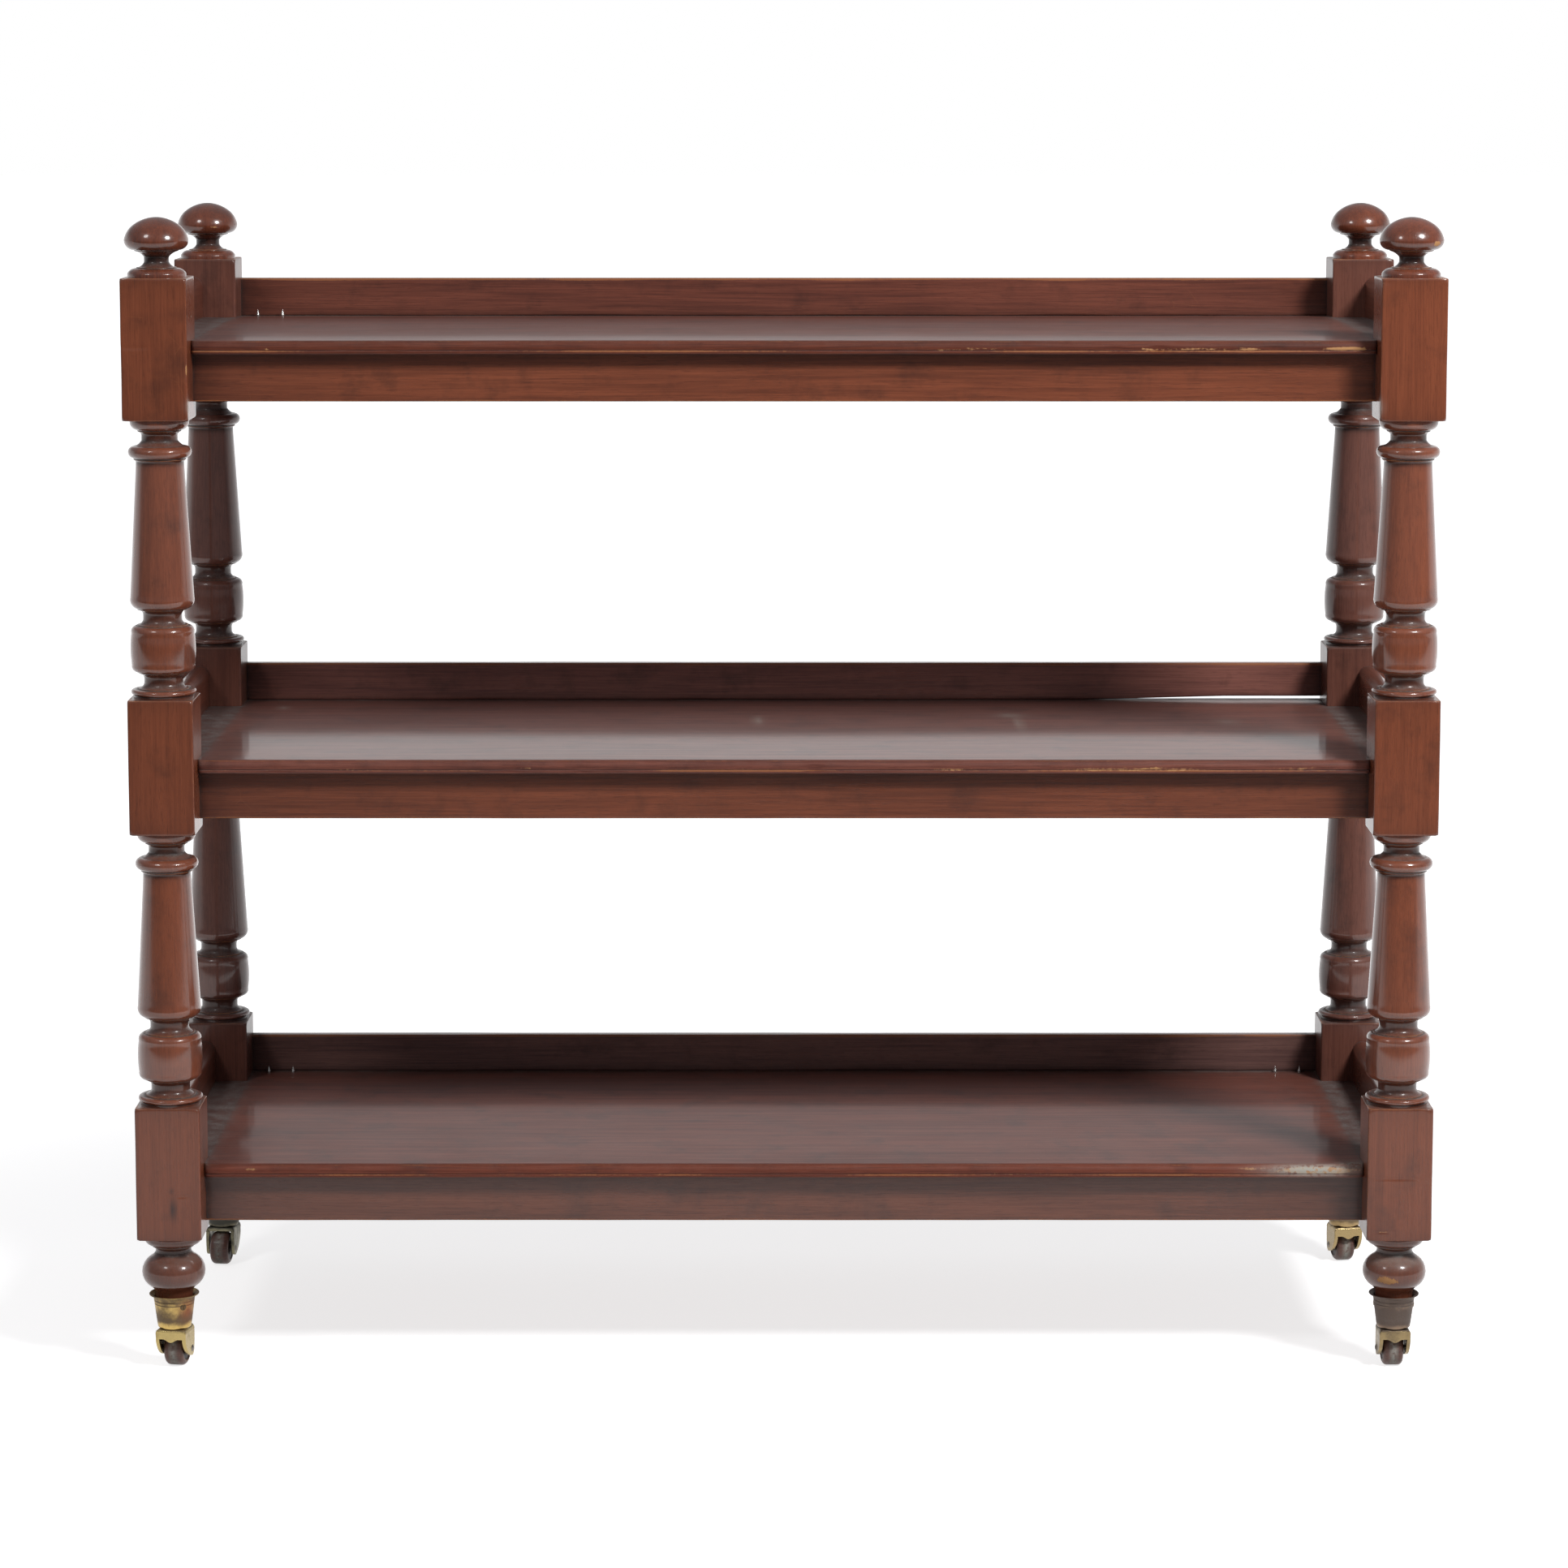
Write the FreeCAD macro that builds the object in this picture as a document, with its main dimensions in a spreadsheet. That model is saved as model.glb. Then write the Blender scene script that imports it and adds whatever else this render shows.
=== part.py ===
"""Three-tier mahogany etagere on brass castors.

Frame: +X is the right, +Y the back, +Z up.  The origin lies on the floor under the middle
of the piece.  Every driving dimension is a cell of the sheet Sizes, in millimetres (angles
in degrees), and every length of every object is bound to those cells by an expression.
"""
import os
import re

import FreeCAD
import Part
import Sketcher

doc = FreeCAD.newDocument("Etagere")
sheet = doc.addObject("Spreadsheet::Sheet", "Sizes")

# ---------------------------------------------------------------------------------------
# Driving dimensions: alias, value, what it is
# ---------------------------------------------------------------------------------------
SIZES = [
    ("overall_width", 1220.0, "width over the posts"),
    ("overall_depth", 446.0, "depth over the posts"),
    # posts
    ("post_side", 61.0, "side of the square blocks"),
    ("post_arris", 1.6, "rounding of the long arrises of a block"),
    ("foot_height", 130.2, "floor to the underside of the lowest block"),
    ("block_rise", 126.7, "height of the low and middle blocks"),
    ("top_block_rise", 131.2, "height of the top block"),
    ("baluster_rise", 260.3, "height of one turned baluster between two blocks"),
    ("block_end_radius", 41.0, "radius to which the corners of a block's ends are turned off"),
    ("block_end_rise", 4.0, "height over which a block's end is turned off"),
    # lower half of a baluster, from the block under it upwards
    ("plinth_radius", 28.0, "disc on the block"),
    ("plinth_rise", 3.0, "disc on the block"),
    ("base_bead_rise", 5.0, "bead on the disc"),
    ("base_bead_bulge", 2.4, "bead on the disc"),
    ("ledge_radius", 23.6, "small ledge beside a waist"),
    ("ledge_rise", 1.0, "small ledge beside a waist"),
    ("waist_radius", 18.1, "waist under and over the drum"),
    ("waist_rise", 4.2, "straight part of a waist"),
    ("waist_cove_rise", 5.0, "cove into a waist"),
    ("waist_cove_hollow", 1.5, "depth of the cove into a waist"),
    ("drum_shoulder_radius", 24.8, "drum where it meets a ledge"),
    ("drum_shoulder_rise", 6.7, "rounded end of the drum"),
    ("drum_shoulder_bulge", 1.8, "rounded end of the drum"),
    ("drum_end_radius", 29.4, "drum beside its rounded end"),
    ("drum_rise", 30.0, "drum between its rounded ends"),
    ("drum_bulge", 1.0, "swelling of the drum"),
    ("taper_foot_rise", 10.0, "rounded foot of the long taper"),
    ("taper_foot_bulge", 2.0, "rounded foot of the long taper"),
    ("taper_low_radius", 29.7, "long taper at its foot"),
    ("taper_high_radius", 22.3, "long taper at its head"),
    # upper half of a baluster, from the block over it downwards
    ("crown_radius", 27.0, "crown bead against the block"),
    ("crown_rise", 10.0, "crown bead"),
    ("crown_bulge", 3.1, "crown bead"),
    ("crown_ledge_radius", 20.3, "ledge under the crown bead"),
    ("crown_ledge_rise", 1.4, "ledge under the crown bead"),
    ("throat_radius", 16.8, "throat under the crown"),
    ("throat_rise", 4.4, "straight part of the throat"),
    ("throat_cove_rise", 4.1, "cove into the throat"),
    ("throat_cove_hollow", 1.1, "depth of the cove into the throat"),
    ("flare_rise", 5.0, "flare from the throat to the ring"),
    ("flare_radius", 22.8, "flare where it meets the ring"),
    ("flare_hollow", 0.5, "depth of the flare's hollow"),
    ("ring_edge_radius", 24.4, "edges of the ring"),
    ("ring_rise", 11.2, "ring"),
    ("ring_bulge", 5.1, "ring"),
    ("fillet_rise", 1.6, "fillet under the ring"),
    ("taper_cove_rise", 2.2, "cove at the head of the taper"),
    ("taper_cove_hollow", 0.5, "depth of the cove at the head of the taper"),
    # turned foot, from the lowest block downwards
    ("foot_throat_rise", 1.5, "straight part of the foot's throat"),
    ("foot_flare_rise", 5.0, "flare from the throat to the ball"),
    ("ball_edge_radius", 22.0, "ball at its upper and lower ends"),
    ("ball_bulge", 7.9, "ball"),
    ("ankle_rise", 6.8, "ankle under the ball"),
    ("ankle_radius", 17.9, "ankle under the ball"),
    ("ankle_hollow", 1.0, "depth of the cove from the ball to the ankle"),
    ("ankle_gap", 2.0, "from the castor cup's flange to the ankle"),
    # finials
    ("finial_base_radius", 27.2, "collar on the block"),
    ("finial_base_rise", 3.4, "straight side of the collar"),
    ("finial_dome_rise", 5.0, "rounded top of the collar"),
    ("finial_dome_bulge", 1.6, "rounded top of the collar"),
    ("finial_ledge_radius", 18.6, "ledge on the collar"),
    ("finial_ledge_rise", 0.9, "ledge on the collar"),
    ("finial_neck_radius", 11.5, "neck"),
    ("finial_cove_rise", 4.9, "cove from the collar to the neck"),
    ("finial_cove_hollow", 1.3, "cove from the collar to the neck"),
    ("finial_neck_rise", 4.6, "straight part of the neck"),
    ("finial_cap_radius", 20.4, "edge under the knob"),
    ("finial_cap_rise", 5.5, "cove from the neck to the knob"),
    ("finial_cap_hollow", 0.9, "cove from the neck to the knob"),
    ("finial_rim_rise", 0.8, "edge under the knob"),
    ("knob_radius", 29.8, "knob at its widest"),
    ("knob_under_rise", 8.9, "underside of the knob"),
    ("knob_under_bulge", 2.7, "underside of the knob"),
    ("knob_side_radius", 21.6, "knob where its side turns into the top"),
    ("knob_side_rise", 14.0, "side of the knob"),
    ("knob_side_bulge", 1.55, "side of the knob"),
    ("knob_top_rise", 7.5, "top of the knob"),
    ("spigot_radius", 7.0, "finial's spigot"),
    ("spigot_length", 24.0, "finial's spigot"),
    ("glue_gap", 0.1, "clearance round a glued spigot, screw or castor cup"),
    # shelves
    ("shelf_thickness", 12.0, "board"),
    ("shelf_rise", 66.8, "top of a shelf over the foot of its blocks, low and middle tier"),
    ("top_shelf_rise", 72.3, "the same on the top tier"),
    ("shelf_setback", 25.6, "front edge behind the posts' front"),
    ("nosing_corner", 4.5, "front corners of a board, rounded in plan"),
    ("nosing_thumb_rise", 7.8, "height of the rounded upper part of the front edge"),
    ("nosing_thumb_run", 4.6, "depth of the rounded upper part of the front edge"),
    ("nosing_thumb_bulge", 1.5, "rounding of the upper part of the front edge"),
    ("nosing_bead_rise", 3.4, "small bead along the foot of the front edge"),
    ("nosing_bead_bulge", 0.7, "rounding of that bead"),
    ("nosing_groove", 0.9, "groove between the two"),
    # rails under the shelves
    ("rail_height", 45.0, "front apron, back and side rails"),
    ("rail_thickness", 14.0, "front apron, back and side rails"),
    ("apron_setback", 40.0, "front apron's face behind the posts' front"),
    ("back_inset", 1.0, "back rail and gallery inside the posts' back"),
    ("end_inset", 9.7, "side rail, gallery and shelf end inside the posts' outer face"),
    ("tenon_length", 25.0, "rail tenons"),
    ("tenon_thickness", 8.0, "rail tenons"),
    ("tenon_shoulder", 5.0, "shoulder over and under a rail tenon"),
    # galleries on the shelves
    ("gallery_height", 38.0, "back gallery"),
    ("gallery_thickness", 12.0, "back gallery"),
    ("gallery_arris", 2.0, "rounding of the back gallery's top"),
    ("gallery_housing", 1.0, "depth of the housings in a shelf that its galleries stand in"),
    ("gallery_lift", 2.6, "how far the shrunken middle gallery has come up over its shelf"),
    ("gallery_lift_run", 298.0, "length of that open joint, from the right post"),
    ("side_gallery_height", 41.5, "side gallery, with its half-round top"),
    ("side_gallery_thickness", 19.0, "side gallery"),
    ("stub_length", 12.0, "stub tenons of the galleries"),
    ("stub_thickness", 6.0, "stub tenons of the galleries"),
    ("stub_shoulder", 6.0, "shoulder over and under a stub tenon"),
    # screws through the rails into the shelves
    ("shelf_screw_radius", 2.2, "shank"),
    ("shelf_screw_bite", 8.0, "length in the shelf"),
    ("shelf_screw_grip", 18.0, "wood between the head and the top of the rail"),
    ("shelf_screw_head_radius", 4.2, "head"),
    ("shelf_screw_head_rise", 2.6, "head"),
    ("shelf_screw_pocket_radius", 5.0, "hole that the head sinks into"),
    ("shelf_screw_pitch", 400.0, "from screw to screw along a long rail"),
    # glue blocks
    ("glue_block_leg", 15.0, "leg of the triangular section"),
    ("glue_block_length", 50.0, "length"),
    ("glue_block_pitch", 200.0, "from the screw beside it, along a long rail"),
    ("glue_block_side_offset", 70.0, "from the screw of a side rail"),
    # repair cleats in three back corners
    ("cleat_length", 62.0, "cleat"),
    ("cleat_width", 18.0, "cleat"),
    ("cleat_height", 20.0, "cleat"),
    ("cleat_end_gap", 4.0, "from the post to the cleat"),
    ("cleat_screw_radius", 1.9, "shank"),
    ("cleat_screw_head_radius", 3.8, "head"),
    ("cleat_screw_head_rise", 2.4, "head"),
    ("cleat_screw_proud", 6.6, "point standing out of the shelf"),
    ("cleat_screw_point", 5.0, "length of the point"),
    ("cleat_screw_inset", 4.5, "from the back rail to a screw"),
    ("cleat_screw_first", 17.5, "from the post to the first screw"),
    ("cleat_screw_pitch", 25.0, "from the first screw to the second"),
    # castor cups
    ("cup_base_height", 39.6, "underside of the cup over the floor"),
    ("cup_base_radius", 16.0, "cup at its underside"),
    ("cup_base_thickness", 3.0, "bottom of the cup"),
    ("cup_base_round", 2.0, "rounded lower edge"),
    ("cup_wall", 1.6, "wall of the cup"),
    ("cup_wall_rise", 28.4, "height of the conical wall, from the underside"),
    ("cup_mouth_radius", 19.5, "cup at the top of the conical wall"),
    ("cup_flange_radius", 23.2, "flange"),
    ("cup_flange_rise", 3.4, "flange over the conical wall"),
    ("cup_flange_hollow", 1.0, "hollow under the flange"),
    ("cup_lip", 1.2, "thickness of the flange's lip"),
    ("cup_line_height", 23.2, "lower engraved line over the underside"),
    ("cup_line_pitch", 3.4, "between the two engraved lines"),
    ("cup_line_width", 0.7, "engraved line"),
    ("cup_line_depth", 0.35, "engraved line"),
    ("cup_screw_height", 22.5, "screws over the underside"),
    ("cup_screw_turn_front_left", 303.5, "angle of the screws on the front left cup"),
    ("cup_screw_turn", 352.0, "angle of the screws on the other cups"),
    ("cup_screw_radius", 1.5, "shank"),
    ("cup_screw_length", 12.0, "shank, from the head's seat"),
    ("cup_screw_head_radius", 3.1, "head"),
    ("cup_screw_sink", 1.2, "how deep the head sits in the cup's wall"),
    ("cup_screw_head_rise", 1.3, "side of the head"),
    ("cup_screw_head_dome", 0.6, "dome of the head"),
    ("cup_screw_slot", 0.8, "width of the slot"),
    ("cup_screw_slot_depth", 0.9, "depth of the slot"),
    # castor yokes, axles and wheels
    ("swivel_gap", 0.4, "between the cup and what turns under and over its bottom"),
    ("pivot_radius", 4.0, "swivel pin"),
    ("running_gap", 0.06, "clearance of the swivel pin and of the wheel's bore"),
    ("pivot_head_radius", 7.0, "riveted head of the swivel pin"),
    ("pivot_head_rise", 3.0, "riveted head of the swivel pin"),
    ("recess_radius", 8.5, "recess over it in the post"),
    ("recess_rise", 5.5, "recess over it in the post"),
    ("castor_turn_front_left", 350.0, "heading of the castor at rest, 0 with the axle to the back"),
    ("castor_turn_front_right", 1.0, "the same"),
    ("castor_turn_back_left", 173.0, "the same"),
    ("castor_turn_back_right", 10.0, "the same"),
    ("trail", 8.0, "axle behind the swivel"),
    ("yoke_width", 29.4, "over the cheeks"),
    ("yoke_crown_width", 25.0, "over the top of the yoke"),
    ("yoke_shoulder_rise", 5.5, "rounded shoulder of the yoke"),
    ("yoke_shoulder_bulge", 1.0, "rounded shoulder of the yoke"),
    ("yoke_reach", 14.6, "top of the yoke before and behind the swivel"),
    ("yoke_back_bulge", 1.0, "swelling of the cheeks' rear edge"),
    ("yoke_boss_radius", 6.8, "cheek round the axle"),
    ("yoke_cheek_height", 28.0, "straight front edge of a cheek over the floor"),
    ("yoke_cheek_bulge", 4.0, "swelling of a cheek's edge from there to the axle"),
    ("yoke_brow_height", 26.8, "middle of the front web's lower edge over the floor"),
    ("yoke_brow_drop", 3.0, "middle of the front web's lower edge under its ends"),
    ("yoke_web", 3.6, "thickness of the front web"),
    ("wheel_radius", 16.5, "wheel"),
    ("wheel_width", 19.2, "wheel"),
    ("wheel_round", 4.5, "rounded shoulder of the tread"),
    ("wheel_hub_radius", 7.5, "hub face"),
    ("wheel_hub_depth", 1.0, "dish between hub and tread"),
    ("wheel_side_gap", 1.5, "between the wheel and a cheek"),
    ("wheel_top_gap", 2.0, "between the tread and the yoke"),
    ("axle_radius", 2.4, "axle"),
    ("axle_head_radius", 3.4, "riveted end of the axle"),
    ("axle_head_rise", 1.3, "riveted end of the axle"),
]
for row, (alias, value, meaning) in enumerate(SIZES, start=1):
    sheet.set(f"A{row}", meaning)
    sheet.set(f"B{row}", str(value))
    sheet.setAlias(f"B{row}", alias)
doc.recompute()
ALIASES = {alias for alias, _value, _meaning in SIZES}


# ---------------------------------------------------------------------------------------
# Places worked out from the driving dimensions
# ---------------------------------------------------------------------------------------
AXIS_X = "(overall_width - post_side) / 2"
AXIS_Y = "(overall_depth - post_side) / 2"
INNER_X = "(overall_width / 2 - post_side)"
INNER_Y = "(overall_depth / 2 - post_side)"
END_X = "(overall_width / 2 - end_inset)"
BACK_Y = "(overall_depth / 2 - back_inset)"
SHELF_FRONT_Y = "(shelf_setback - overall_depth / 2)"
APRON_FRONT_Y = "(apron_setback - overall_depth / 2)"
BACK_RAIL_FRONT_Y = f"({BACK_Y} - rail_thickness)"

BLOCK_FOOT = {
    "bottom": "foot_height",
    "middle": "(foot_height + block_rise + baluster_rise)",
    "top": "(foot_height + 2 * block_rise + 2 * baluster_rise)",
}
POST_TOP = f"({BLOCK_FOOT['top']} + top_block_rise)"
SHELF_TOP = {
    "bottom": f"({BLOCK_FOOT['bottom']} + shelf_rise)",
    "middle": f"({BLOCK_FOOT['middle']} + shelf_rise)",
    "top": f"({BLOCK_FOOT['top']} + top_shelf_rise)",
}
YOKE_TOP = "(cup_base_height - swivel_gap)"
CUP_FLOOR = "(cup_base_height + cup_base_thickness)"
CUP_TOP_OF_WALL = "(cup_base_height + cup_wall_rise)"
FLANGE_EDGE = f"({CUP_TOP_OF_WALL} + cup_flange_rise)"
# The ball of a foot fills what its other turnings leave between the cup and the lowest block
BALL_RISE = (f"(foot_height - {FLANGE_EDGE} - ankle_gap - ankle_rise - foot_flare_rise - foot_throat_rise"
             " - throat_cove_rise - crown_ledge_rise - crown_rise)")

# Each post: which side (-1 left) and which end (-1 front)
CORNERS = {
    "front_left": (-1, -1),
    "front_right": (1, -1),
    "back_left": (-1, 1),
    "back_right": (1, 1),
}
SIDES = {"left": -1, "right": 1}
QUARTER_BULGE = "(1 - sqrt(2) / 2)"

# Sketch planes: across and up lie along X and Z, along Y and Z, or along X and Y
FRONT = FreeCAD.Rotation(FreeCAD.Vector(1, 0, 0), 90)
SIDE = FreeCAD.Rotation(FreeCAD.Vector(1, 1, 1), 120)
PLAN = FreeCAD.Rotation()
X_AXIS = FreeCAD.Vector(1, 0, 0)
Y_AXIS = FreeCAD.Vector(0, 1, 0)
Z_AXIS = FreeCAD.Vector(0, 0, 1)
ORIGIN_POINT = (-1, 1)


# ---------------------------------------------------------------------------------------
# Small helpers round the document
# ---------------------------------------------------------------------------------------
def bound(text):
    """The expression text with every size written as its cell of the sheet."""
    return re.sub(r"[a-z_]+", lambda word: ("Sizes." if word[0] in ALIASES else "") + word[0], text)


def number(text):
    """The value of an expression now."""
    return float(sheet.evalExpression(bound(text)))


def bind(obj, **sizes):
    """Binds properties of obj to expressions and returns obj."""
    for prop, text in sizes.items():
        obj.setExpression(prop, bound(text))
    return obj


def place(obj, x="0", y="0", z="0", turn="0"):
    """Binds the place of obj and its turn about Z."""
    obj.Placement = FreeCAD.Placement(FreeCAD.Vector(), FreeCAD.Rotation(Z_AXIS, 90))
    for path, text in (("Base.x", x), ("Base.y", y), ("Base.z", z), ("Rotation.Angle", turn)):
        obj.setExpression(f"Placement.{path}", bound(text))
    return obj


def feature(kind, name, **links):
    """A Part feature with the given properties."""
    obj = doc.addObject(f"Part::{kind}", name)
    for prop, value in links.items():
        setattr(obj, prop, value)
    return obj


def fuse(name, shapes):
    return feature("MultiFuse", name, Shapes=shapes, Refine=True)


def cut(name, base, tools):
    tool = tools[0] if len(tools) == 1 else fuse(f"{name}_tool", tools)
    return feature("Cut", name, Base=base, Tool=tool, Refine=True)


def box(name, x, y, z):
    """A box between the low and high ends given for each direction."""
    solid = feature("Box", name)
    for prop, (low, high) in zip(("Length", "Width", "Height"), (x, y, z)):
        solid.setExpression(prop, bound(f"({high}) - ({low})"))
    return place(solid, x[0], y[0], z[0])


def mirrored(side, near, far):
    """The low and high ends of a stretch from near to far on one side of the middle."""
    return (near, far) if side > 0 else (f"-({far})", f"-({near})")


def cylinder(name, radius, height, x="0", y="0", z="0"):
    return place(bind(feature("Cylinder", name), Radius=radius, Height=height), x, y, z)


def arc_between(start, end, bulge):
    """The arc from start to end that bulges to the right of the way, and its first end."""
    chord = end - start
    radius = chord.Length ** 2 / (8 * abs(bulge)) + abs(bulge) / 2
    right = FreeCAD.Vector(chord.y, -chord.x, 0).normalize() * (1 if bulge > 0 else -1)
    centre = (start + end) / 2 - right * (radius - abs(bulge))
    first, last = (start, end) if bulge > 0 else (end, start)
    angles = [Part.Circle(centre, Z_AXIS, radius).parameter(point) for point in (first, last)]
    return Part.ArcOfCircle(Part.Circle(centre, Z_AXIS, radius), *angles), 1 if bulge > 0 else 2


def outline(name, plane, corners):
    """A closed sketch, anticlockwise.  A corner is (across, up) or, where an arc leads to it,
    (across, up, bulge): the arc's height over its chord, outwards if positive."""
    sketch = doc.addObject("Sketcher::SketchObject", name)
    sketch.Placement = FreeCAD.Placement(FreeCAD.Vector(), plane)
    points = [FreeCAD.Vector(number(corner[0]), number(corner[1]), 0) for corner in corners]
    edges, first_ends = [], []
    for index, start in enumerate(points):
        target = (index + 1) % len(points)
        bulge = corners[target][2:]
        if bulge:
            edge, first_end = arc_between(start, points[target], number(bulge[0]))
        else:
            edge, first_end = Part.LineSegment(start, points[target]), 1
        edges.append(edge)
        first_ends.append(first_end)
    sketch.addGeometry(edges, False)

    constraints, bindings = [], {}

    def add(constraint, label, text):
        constraint.Name = label
        constraints.append(constraint)
        bindings[label] = text

    for index, corner in enumerate(corners):
        last = index - 1 if index else len(corners) - 1
        last_end = 3 - first_ends[last]
        constraints.append(Sketcher.Constraint("Coincident", last, last_end, index, first_ends[index]))
        # Geometry -2 is the sketch's own upright axis and -1 the level one
        for kind, text, label, axis in (("DistanceX", corner[0], "across", -2),
                                        ("DistanceY", corner[1], "up", -1)):
            if text == "0":
                constraints.append(Sketcher.Constraint("PointOnObject", index, first_ends[index], axis))
            else:
                add(Sketcher.Constraint(kind, *ORIGIN_POINT, index, first_ends[index], number(text)),
                    f"{label}_{index}", text)
        if corner[2:]:
            before = corners[last]
            run, rise = f"(({corner[0]}) - ({before[0]}))", f"(({corner[1]}) - ({before[1]}))"
            height = f"abs({corner[2]})"
            radius = f"({run}^2 + {rise}^2) / (8 * {height}) + {height} / 2"
            add(Sketcher.Constraint("Radius", last, number(radius)), f"radius_{index}", radius)
    sketch.addConstraint(constraints)
    for label, text in bindings.items():
        sketch.setExpression(f"Constraints.{label}", bound(text))
    return sketch


def climb(start, steps, direction=1):
    """Corners of a turning from its steps (rise, radius reached[, bulge]), from start on."""
    corners, level = [], start
    for rise, radius, *bulge in steps:
        if rise != "0":
            level = f"{level} {'+' if direction > 0 else '-'} {rise}"
        corners.append((radius, level, *bulge))
    return corners


def dome(radius, rise):
    """The bulge of an arc of that radius and rise that crosses the turning axis squarely."""
    chord_squared = f"({radius}^2 + {rise}^2)"
    return f"({chord_squared} / (2 * {rise}) * (1 - sqrt(1 - {rise}^2 / {chord_squared})))"


def turned(name, sketch, axis=Z_AXIS):
    return feature("Revolution", name, Source=sketch, Axis=axis, Angle=360, Solid=True)


def extruded(name, sketch, direction, length):
    """A prism over sketch, to both sides of its plane."""
    prism = feature("Extrusion", name, Base=sketch, DirMode="Custom", Dir=direction,
                    Solid=True, Symmetric=True)
    return bind(prism, LengthFwd=length)


nodes = []


def node(name, obj):
    """Makes obj the sub-part of that name."""
    obj.Label = name
    nodes.append(obj)
    return obj


def upwards(corners):
    """The same corners in the opposite order, each bulge staying with its own edge."""
    bulges = [corner[2:] for corner in corners[1:]] + [()]
    return [(*corner[:2], *bulge) for corner, bulge in zip(reversed(corners), reversed(bulges))]


# ---------------------------------------------------------------------------------------
# Screws: a screw and the hole it sits in come from one outline
# ---------------------------------------------------------------------------------------
def screw_outline(name, shank, head, seat, end, point, ease="0", pocket=None):
    """Half section of an upright countersunk screw: head is (radius, rise), seat the height
    of the shank's foot, end its tip.  ease widens it all round; pocket is (radius, foot)."""
    head_radius, head_rise = head
    foot = f"{seat} - {head_rise}"
    corners = [(f"{head_radius} + {ease}", foot)]
    if pocket:
        corners = [(pocket[0], pocket[1]), (pocket[0], foot)]
    return outline(name, FRONT, [
        ("0", corners[0][1]),
        *corners,
        (f"{shank} + {ease}", f"{seat} - {ease}"),
        (f"{shank} + {ease}", f"{end} - {point}"),
        ("0", f"{end} + {ease}"),
    ])


SHELF_SCREW = dict(shank="shelf_screw_radius", head=("shelf_screw_head_radius", "shelf_screw_head_rise"),
                   seat="-shelf_screw_grip", end="shelf_screw_bite", point="shelf_screw_radius")
CLEAT_SCREW = dict(shank="cleat_screw_radius", head=("cleat_screw_head_radius", "cleat_screw_head_rise"),
                   seat="cleat_screw_head_rise - cleat_height",
                   end="shelf_thickness + cleat_screw_proud", point="cleat_screw_point")
shelf_screw_section = screw_outline("shelf_screw_section", **SHELF_SCREW)
shelf_screw_hole_section = screw_outline("shelf_screw_hole_section", **SHELF_SCREW, ease="glue_gap",
                                         pocket=("shelf_screw_pocket_radius", "-rail_height - glue_gap"))
cleat_screw_section = screw_outline("cleat_screw_section", **CLEAT_SCREW)
cleat_screw_hole_section = screw_outline(
    "cleat_screw_hole_section", **CLEAT_SCREW, ease="glue_gap",
    pocket=("cleat_screw_head_radius + glue_gap", "-cleat_height - glue_gap"))

# ---------------------------------------------------------------------------------------
# Turnings and blocks of the posts, all on the Z axis
# ---------------------------------------------------------------------------------------
WAIST = [
    ("0", "ledge_radius"),
    ("ledge_rise", "ledge_radius"),
    ("waist_cove_rise", "waist_radius", "-waist_cove_hollow"),
    ("waist_rise", "waist_radius"),
    ("waist_cove_rise", "ledge_radius", "-waist_cove_hollow"),
    ("ledge_rise", "ledge_radius"),
    ("0", "drum_shoulder_radius"),
]
BALUSTER_BASE = [
    ("0", "plinth_radius"),
    ("plinth_rise", "plinth_radius"),
    ("base_bead_rise", "plinth_radius", "base_bead_bulge"),
    *WAIST,
    ("drum_shoulder_rise", "drum_end_radius", "drum_shoulder_bulge"),
    ("drum_rise", "drum_end_radius", "drum_bulge"),
    ("drum_shoulder_rise", "drum_shoulder_radius", "drum_shoulder_bulge"),
    *WAIST,
    ("taper_foot_rise", "taper_low_radius", "taper_foot_bulge"),
]
CROWN = [
    ("0", "crown_radius"),
    ("crown_rise", "crown_ledge_radius", "crown_bulge"),
    ("crown_ledge_rise", "crown_ledge_radius"),
    ("throat_cove_rise", "throat_radius", "-throat_cove_hollow"),
]
BALUSTER_HEAD = [
    *CROWN,
    ("throat_rise", "throat_radius"),
    ("flare_rise", "flare_radius", "-flare_hollow"),
    ("0", "ring_edge_radius"),
    ("ring_rise", "ring_edge_radius", "ring_bulge"),
    ("fillet_rise", "ring_edge_radius"),
    ("taper_cove_rise", "taper_high_radius", "-taper_cove_hollow"),
]
FOOT = [
    *CROWN,
    ("foot_throat_rise", "throat_radius"),
    ("foot_flare_rise", "ball_edge_radius", "-flare_hollow"),
    (BALL_RISE, "ball_edge_radius", "ball_bulge"),
    ("ankle_rise", "ankle_radius", "-ankle_hollow"),
]
baluster_section = outline("baluster_section", FRONT, [
    ("0", "0"),
    *climb("0", BALUSTER_BASE),
    *upwards(climb("baluster_rise", BALUSTER_HEAD, direction=-1)),
    ("0", "baluster_rise"),
])
# The foot ends in a cone that fills the castor cup, with a recess over the swivel's head
foot_section = outline("foot_section", FRONT, [
    ("0", f"{CUP_FLOOR} + recess_rise"),
    ("recess_radius", f"{CUP_FLOOR} + recess_rise"),
    ("recess_radius", CUP_FLOOR),
    ("cup_base_radius - cup_wall - glue_gap", CUP_FLOOR),
    ("cup_mouth_radius - cup_wall - glue_gap", "cup_base_height + cup_wall_rise"),
    *upwards(climb("foot_height", FOOT, direction=-1)),
    ("0", "foot_height"),
])


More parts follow.
